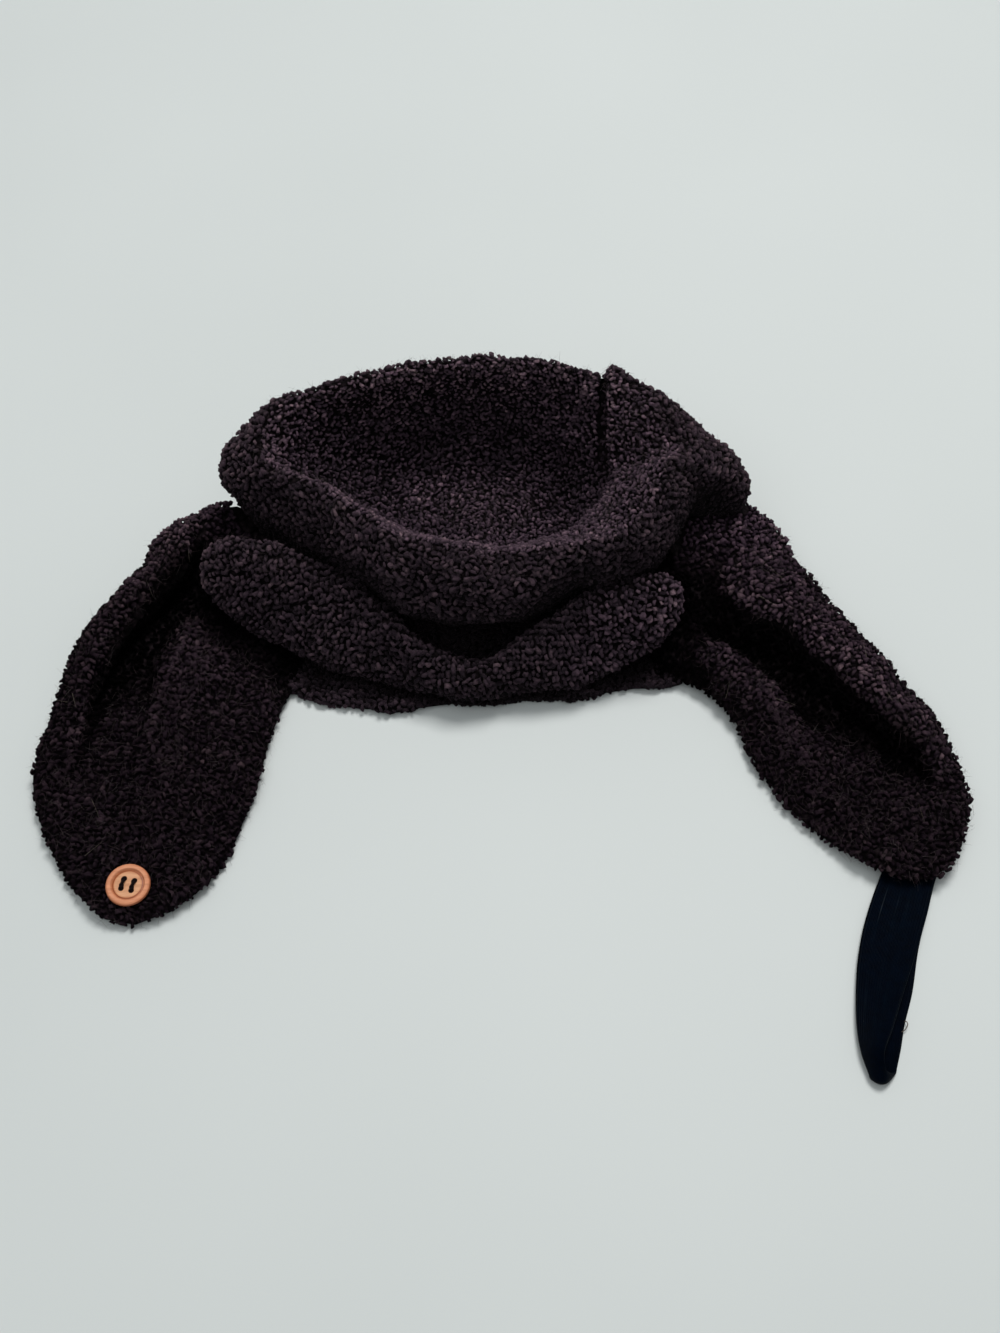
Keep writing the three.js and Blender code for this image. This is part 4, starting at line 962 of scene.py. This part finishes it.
# The light of the flaps and the brim is painted into their stitches: the flaps are painted darker than the
# crown, but lighter towards their roots and, on the right flap, higher up; the left flap's outer side is
# painted darker still, painted shade runs along each flap's valley, and the brim is painted lighter towards
# its right.
left_y, right_y, right_z = left_frames[0][:, 1], right_frames[0][:, 1], right_frames[0][:, 2]
# Painted shade: the left flap's outer side, facing left, is painted darker.
left_side = np.clip(-left_frames[1][:, 0], 0, 1) * (1 - smooth_step(left_y, 40, 72))
left_painted_light = 1.1 + 0.75 * smooth_step(left_y, -20, 40) + 1.2 * smooth_step(left_y, 50, 90)
left_painted_light = left_painted_light * (1 - 0.75 * left_side)
left_painted_light = left_painted_light * fold_shade(left_frames[0], (-154, 80), (-182, 20), 10.0, 0.94)
right_painted_light = 1.0 + 1.7 * smooth_step(right_z, 9, 22) + 2.2 * smooth_step(right_y, 78, 98)
right_painted_light = right_painted_light * fold_shade(right_frames[0], (100, 58), (190, -14), 6.0, 0.92)
brim_painted_light = 2.1 + 2.2 * smooth_step(brim_frames[0][:, 0], 15, 60)
left_knit = stitches("left_flap_stitches", left_frames, flap_keep(left_frames), 24, FLAP_FOLDS, left_painted_light,
                     low_sheen_yarn, least=0.8 * smooth_step(left_y, 90, 104))
right_knit = stitches("right_flap_stitches", right_frames, flap_keep(right_frames), 25, FLAP_FOLDS,
                      right_painted_light, low_sheen_yarn, least=0.85 * smooth_step(right_y, 68, 90))
brim_knit = stitches("front_brim_stitches", brim_frames, brim_keep, 26, CROWN_FOLDS, brim_painted_light, yarn)

# %% [markdown]
# ## The fuzz
# Fine hairs stand off the yarn and blur the hat's outline, and a few pale fibres lie on it. Blender's hair
# system could grow them, but hair curves aren't part of an exported mesh. Here each hair is a thin
# three-sided blade that bends over and runs out to a point.


# %% Thin hairs
def hairs(name, frames, finish, rng, count, lengths, stand, half_width):
    """Hairs at random stitches: out along the normal and aside by the square of the way along, and ever
    thinner."""
    t, turn, template = tube_template(2, 3)
    pick = rng.integers(0, len(frames[0]), count)
    place, normal, ahead = (each[pick] for each in frames)
    draw = lambda low, high: rng.uniform(low, high, count)[:, None]
    way, aside = turned(ahead, np.cross(normal, ahead), rng.uniform(0, 2 * np.pi, count))
    length, up = draw(*lengths), draw(*stand)
    along, flat = (t + 1) / 2, np.sqrt(1 - up**2)
    forward = length * along * flat + length * along**2 * draw(0, 0.5)
    outward = 1.0 + length * along * up - length * along**2 * up * draw(0.1, 0.7)
    swing = length * along**2 * draw(-0.5, 0.5)
    thin = half_width * np.minimum(1, 1.35 - along) * (np.abs(t) < 1)
    forward, outward = forward + thin * np.sin(turn) * up, outward + thin * np.sin(turn) * flat
    swing = swing + thin * np.cos(turn)
    points = (place[:, None] + way[:, None] * forward[..., None] + normal[:, None] * outward[..., None]
              + aside[:, None] * swing[..., None])
    points[..., 2] = np.maximum(points[..., 2], TABLE_CLEAR + 0.01)
    shade = np.repeat(rng.uniform(0, 1, count), len(t))
    make_piece(name, points.reshape(-1, 3), copies(template, len(t), count), finish, {"shade": shade})


HAIR_FOOT, OPEN_SKY = 12, 0.86  # no hair grows lower on the crown, in millimetres, or where less sky is open
hair_rng = np.random.default_rng(40)
bearing_hairs = [(fine_frames, in_bowl(fine_frames)),
                 (crown_frames, outside & (crown_frames[0][:, 2] > HAIR_FOOT)),
                 (left_frames, flap_keep(left_frames)), (right_frames, flap_keep(right_frames)),
                 (brim_frames, brim_keep)]
everywhere = [np.concatenate([frames[k][keep] for frames, keep in bearing_hairs]) for k in range(3)]
in_light = look_round(everywhere[0])[0] > OPEN_SKY
everywhere = [each[in_light] for each in everywhere]
hairs("wool_fuzz", everywhere, fuzz, hair_rng, 7800, (2.0, 5.0), (0.3, 0.98), 0.06)
hairs("stray_fibres", everywhere, stray, hair_rng, 24, (4.0, 10.0), (0.05, 0.3), 0.05)

# %% [markdown]
# ## The elastic strap
# A 25 mm elastic tape comes out from under the right flap, runs down the table, folds back on itself and
# leaves a small open eye at its end. A cloth simulation would lose such a fold. Here the tape is a sheet of
# two parameters: along it, down the lower layer, round the fold and back up the upper one, and across it
# between its two edges.

# %% The strap's tables
# Along the tape; the left and right edges in plan; and, for the upper layer, the height of both edges.
STRAP_LOWER = np.array([
    (0, 183.0, -46.0, 208.0, -46.5), (28, 170.5, -70.3, 195.6, -71.0), (50, 161.5, -91.2, 188.6, -89.7),
    (69, 156.4, -108.8, 183.2, -105.5), (87, 153.6, -126.3, 178.4, -123.8),
    (101, 152.6, -140.0, 173.4, -137.8), (112, 153.2, -150.2, 170.4, -148.6),
    (122, 155.4, -159.4, 167.6, -157.2),
])
STRAP_UPPER = np.array([
    (0, 183.0, -46.0, 208.0, -46.5, 2.3, 2.3), (28, 170.3, -70.5, 195.4, -71.2, 2.3, 2.3),
    (50, 161.2, -91.6, 188.4, -90.0, 2.3, 2.4), (69, 156.0, -109.3, 181.4, -107.2, 2.3, 3.3),
    (87, 153.1, -126.8, 172.8, -126.6, 2.5, 5.6), (101, 151.9, -140.4, 166.4, -141.4, 3.0, 7.9),
    (112, 152.5, -150.4, 161.4, -152.4, 3.2, 8.3), (122, 154.8, -159.2, 161.6, -159.0, 2.9, 5.6),
])
STRAP_THICKNESS, STRAP_NOSE, STRAP_FOLD, STRAP_ARCH = 1.3, 3.9, 1.4, 1.6
RUN_STEPS, FOLD_STEPS, TAPE_STEPS = 120, 14, 24  # along a layer, round the fold, and across the tape


# %% The strap's sheet
def strap_layer(table, s, v, heights):
    """Across, a point lies between the two edges by its share. The upper layer is also arched towards the
    eye."""
    read = [follow(table[:, 0], table[:, k], s) for k in range(1, table.shape[1])]
    left, right = np.stack(read[:2], -1), np.stack(read[2:4], -1)
    share = (v + 1) / 2
    plan = left * (1 - share[..., None]) + right * share[..., None]
    up = 0 * s
    if heights:
        up = read[4] * (1 - share) + read[5] * share + STRAP_ARCH * smooth_step(s, 60, 110) * (1 - v**2)
    return np.concatenate((plan, (up + STRAP_THICKNESS / 2)[..., None]), -1)


def strap_middle():
    """The tape's middle: the lower layer, half an ellipse that bulges most in the middle of the tape, the
    upper."""
    v = np.linspace(-1, 1, TAPE_STEPS + 1)
    s, side = np.meshgrid(np.linspace(0, STRAP_LOWER[-1, 0], RUN_STEPS + 1), v, indexing="ij")
    lower, upper = strap_layer(STRAP_LOWER, s, side, False), strap_layer(STRAP_UPPER, s, side, True)
    turn = np.linspace(0, np.pi, FOLD_STEPS + 1)[1:-1, None, None]
    middle, half = (lower[-1] + upper[-1]) / 2, (lower[-1] - upper[-1]) / 2
    onward = np.array([0.12, -0.99, 0.0]) * (STRAP_FOLD + STRAP_NOSE * (1 - v**2))[:, None]
    return np.concatenate((lower, middle + half * np.cos(turn) + onward * np.sin(turn), upper[::-1]))


strap_sheet = strap_middle()
strap_side = np.linspace(-1, 1, TAPE_STEPS + 1)
strap_half = STRAP_THICKNESS / 2 * np.sqrt(1 - strap_side**12)[:, None]
strap_up = grid_normals(strap_sheet, False)
strap_inner, strap_outer = strap_sheet + strap_up * strap_half, strap_sheet - strap_up * strap_half
strap_rings = np.concatenate((strap_inner, strap_outer[:, -2:0:-1]), axis=1)
strap_rings[..., 2] = np.maximum(strap_rings[..., 2], 0.02)
tape_line = strap_sheet[:, TAPE_STEPS // 2]
print("tape along its middle:", np.linalg.norm(np.diff(tape_line, axis=0), axis=1).sum().round(1), "mm")


# %% The elastic's finish
def elastic_finish():
    """Near-black navy tape, satin, with fine ribs along it: a sine of the place across, and faint paler
    threads, and a painted highlight along one edge near the fold."""
    finish = Finish("navy_elastic", 0.4, specular=0.022)
    colour = finish.ramp(finish.attribute("thread"), (0.0, (0.0001, 0.0016, 0.0052)),
                         (0.6, (0.0003, 0.0024, 0.0066)), (1.0, (0.055, 0.065, 0.074)))
    cloudy = finish.ramp(finish.noise(260.0), (0.3, (0.75, 0.75, 0.75)), (0.7, (1.3, 1.3, 1.3)))
    finish.paint(finish.times(colour, cloudy))
    wave = finish.math("SINE", finish.math("MULTIPLY", finish.attribute("across"), 5.2))
    ribs = finish.relief(wave, 0.00016, 0.8)
    finish.relief(finish.noise(2400.0, 3.0, 0.6), 0.00012, 0.7, ribs)
    return finish


# Pale threads run along the tape and come and go. Along the upper layer's right edge, near the fold, a pale
# line is a painted highlight.
strap_v = np.concatenate((strap_side, strap_side[-2:0:-1]))
pale = np.clip(np.random.default_rng(50).normal(0.15, 0.28, len(strap_v)), 0, 0.85)
rows = len(strap_rings)
pale_threads_and_edge_highlight = (np.abs(np.sin(np.linspace(0, 17, rows))) * np.linspace(0.4, 1, rows))[:, None] * pale
upper_half, at_edge = np.arange(rows)[rows // 2:, None], np.abs(strap_v) > 0.975
# A painted highlight along the upper layer's right edge, near the fold.
pale_threads_and_edge_highlight[rows // 2:, at_edge] = 0.8 * smooth_step(upper_half, 140, 150) * (strap_v[at_edge] > 0)

# %% A closed piece from rings
HALF_TAPE = 12.5  # millimetres
points, faces = closed_rings(strap_rings)
strap = make_piece("elastic_strap", points, faces, elastic_finish(), {
    "across": np.append(np.tile(HALF_TAPE * strap_v, rows), (0, 0)),
    "thread": np.append(pale_threads_and_edge_highlight.ravel(), (0, 0))})
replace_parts(strap, "strap_loop")

# %% [markdown]
# ## The button and its thread
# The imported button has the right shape, with its rim, its groove and four holes, so it stays and gets a wood
# finish. The thread through each pair of holes is two twisted strands: a tube carried along a curve that
# winds about an arch.


# %% The button's wood
def wood_finish(middle):
    """Orange-tan wood: a ramp over the distance from the button's middle gives a paler face, a dark groove
    that is painted shade, the rim and a darker outer edge, times a noise stretched along the grain. Inside the
    holes the wood is painted dark as the shade there."""
    finish = Finish("orange_tan_wood", 0.45, specular=0.35)
    place = finish.place()
    centred = finish.node("Mapping", {"Vector": place, "Location": (-middle[0], -middle[1], 0.0),
                                      "Scale": (1.0, 1.0, 0.0)}).outputs["Vector"]
    far = finish.node("VectorMath", {0: centred}, operation="LENGTH").outputs["Value"]
    centimetres = finish.math("MULTIPLY", far, 100.0)
    # The dark stops about the groove are painted shade.
    rings = finish.ramp(centimetres, (0.57, (0.74, 0.37, 0.195)), (0.62, (0.60, 0.23, 0.095)),
                        (0.65, (0.19, 0.042, 0.010)), (0.685, (0.46, 0.14, 0.05)),
                        (0.74, (0.75, 0.32, 0.17)), (0.93, (0.74, 0.30, 0.155)), (1.0, (0.42, 0.12, 0.05)))
    height = finish.node("SeparateXYZ", {"Vector": place}).outputs["Z"]
    # Painted shade in the holes: below the face and near the middle, the wood is near black.
    low = finish.math("LESS_THAN", height, middle[2] + 0.0004)
    in_hole = finish.math("MULTIPLY", low, finish.math("LESS_THAN", centimetres, 0.55))
    painted_hole_shade = finish.ramp(in_hole, (0.0, (1.0, 1.0, 1.0)), (1.0, (0.03, 0.02, 0.02)))
    grain = finish.noise(420.0, 4.0, 0.6, (0.25, 1.6, 1.0))
    streaks = finish.ramp(grain, (0.3, (0.78, 0.70, 0.66)), (0.55, (1.0, 1.0, 1.0)),
                          (0.8, (1.10, 1.14, 1.18)))
    finish.paint(finish.times(finish.times(rings, streaks), painted_hole_shade))
    finish.relief(grain, 0.00015, 0.5)
    return finish


wood = wood_finish(in_metres(button_middle))
for slot in bpy.data.objects["button"].material_slots:
    slot.material = wood.material
print("the packed button is finished in", wood.material.name)


# %% The threads
def thread_finish():
    """Dark brown sewing thread: fine fibres as bump, and a little paler on some of them."""
    finish = Finish("dark_thread", 0.8, specular=0.08)
    fibres = finish.noise(2500.0, 3.0, 0.6)
    finish.paint(finish.ramp(fibres, (0.3, (0.004, 0.002, 0.002)), (0.8, (0.016, 0.008, 0.008))))
    finish.relief(fibres, 0.0002, 0.8)
    return finish


def tube(path, radius, sides, side):
    """Rings about a path, in the plane of a side direction and its cross product with the path's own
    direction."""
    ahead = np.gradient(path, axis=0)
    ahead /= np.linalg.norm(ahead, axis=1, keepdims=True)
    side = side - ahead * (ahead @ side)[:, None]
    side /= np.linalg.norm(side, axis=1, keepdims=True)
    up = np.cross(side, ahead)
    turn = (2 * np.pi * np.arange(sides) / sides)[:, None]
    return path[:, None] + radius * (side[:, None] * np.cos(turn) + up[:, None] * np.sin(turn))


def joined(parts):
    """Several lists of points and faces as one, with the faces counted on."""
    points = np.concatenate([part[0] for part in parts])
    first = np.cumsum([0] + [len(part[0]) for part in parts[:-1]])
    return points, [face + shift for (_, faces), shift in zip(parts, first) for face in faces]


# %% The button's twisted strands
HOLE_OFF, THREAD_LOW, THREAD_HIGH, BUTTON_TURN = 2.35, 0.3, 3.4, np.radians(-12.0)
STRAND_OFF, STRAND_RADIUS, STRAND_STEPS = 0.48, 0.62, 61
across_pair = np.array([np.cos(BUTTON_TURN), np.sin(BUTTON_TURN), 0.0])
along_pair = np.array([-np.sin(BUTTON_TURN), np.cos(BUTTON_TURN), 0.0])
thread = thread_finish()
sweep = np.linspace(np.pi, 0, STRAND_STEPS)
# The arch is a half circle whose sine and cosine are raised to a power under one, which squares its corners.
square_cos, square_sin = (np.sign(wave) * np.abs(wave) ** 0.45 for wave in (np.cos(sweep), np.sin(sweep)))
for node, off in (("button_stitch_left", -HOLE_OFF), ("button_stitch_right", HOLE_OFF)):
    arch = (np.append(button_middle[:2], button_low[2] + THREAD_LOW) + off * across_pair
            + HOLE_OFF * square_cos[:, None] * along_pair
            + (THREAD_HIGH - THREAD_LOW) * square_sin[:, None] * np.array([0.0, 0.0, 1.0]))
    outward = np.cross(np.gradient(arch, axis=0), across_pair)
    outward /= np.linalg.norm(outward, axis=1, keepdims=True)
    strands = []
    for start in (0.0, np.pi):
        wind = start + np.linspace(0, 5 * np.pi, STRAND_STEPS)[:, None]
        strand = arch + STRAND_OFF * (np.cos(wind) * across_pair + np.sin(wind) * outward)
        strands.append(closed_rings(tube(strand, STRAND_RADIUS, 8, across_pair)))
    points, faces = joined(strands)
    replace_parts(make_piece(node + "_strands", points, faces, thread), node)


# %% Tacking stitches at the strap's end
# Place, length, lean and height of three small bows of pale thread, in millimetres.
TACKS = ((154.6, -137.0, 5.2, 4.0, 0.2, 0.5), (158.3, -138.5, 6.6, 4.6, -0.1, 0.5),
         (172.3, -139.0, 0.9, 4.6, 0.2, 1.5))
marks = []
for x, y, z, long, lean, high in TACKS:
    t = np.linspace(0, np.pi, 15)
    bow = np.stack((x + lean * long * np.cos(t) + 1.1 * high * np.sin(t), y + long / 2 * np.cos(t),
                    z + high * np.sin(t)), -1)
    marks.append(closed_rings(tube(bow, 0.22, 6, np.array([1.0, 0.0, 0.0]))))
points, faces = joined(marks)
tacks = make_piece("strap_tacking_stitches", points, faces, stray)

# %% [markdown]


# %% [markdown]
# ## The floor and the light
# A plain pale table, a large soft light above and behind to the right, and an even sky for the rest. Nothing
# here belongs to the hat.

# %% The floor
FLOOR_HALF = 3  # metres
floor_finish = Finish("pale_table", 0.55, specular=0.3)
cloudy = floor_finish.noise(3.0, 2.0)
floor_finish.paint(floor_finish.ramp(cloudy, (0.3, (0.68, 0.72, 0.715)), (0.7, (0.71, 0.75, 0.745))))
table_mesh = bpy.data.meshes.new("table")
corners = [(FLOOR_HALF * x, FLOOR_HALF * y, 0) for x, y in ((-1, -1), (1, -1), (1, 1), (-1, 1))]
table_mesh.from_pydata(corners, [], [(0, 1, 2, 3)])
table_mesh.materials.append(floor_finish.material)
table = bpy.data.objects.new("table", table_mesh)
bpy.context.scene.collection.objects.link(table)


# %% The lights
def soft_light(name, place, target, size, power, colour):
    """A square area light at a place, turned so that its face looks at the target."""
    data = bpy.data.lights.new(name, "AREA")
    data.shape, data.size, data.energy, data.color = "SQUARE", size, power, colour
    lamp = bpy.data.objects.new(name, data)
    lamp.location = place
    lamp.rotation_mode = "QUATERNION"
    lamp.rotation_quaternion = (Vector(place) - Vector(target)).to_track_quat("Z", "Y")
    bpy.context.scene.collection.objects.link(lamp)
    return lamp


soft_light("window_light", (0.45, 1.1, 2.5), (0.0, 0.02, 0.0), 1.0, 45.0, (1.0, 0.99, 0.97))
soft_light("room_light", (-0.5, -0.5, 2.2), (0.0, -0.1, 0.0), 2.0, 11.0, (0.97, 1.0, 1.0))
world = bpy.data.worlds.new("even_sky")
world.use_nodes = True
world.node_tree.nodes["Background"].inputs["Color"].default_value = (0.95, 0.99, 1.0, 1.0)
world.node_tree.nodes["Background"].inputs["Strength"].default_value = 0.24
bpy.context.scene.world = world
bpy.context.scene.view_settings.view_transform = "Standard"
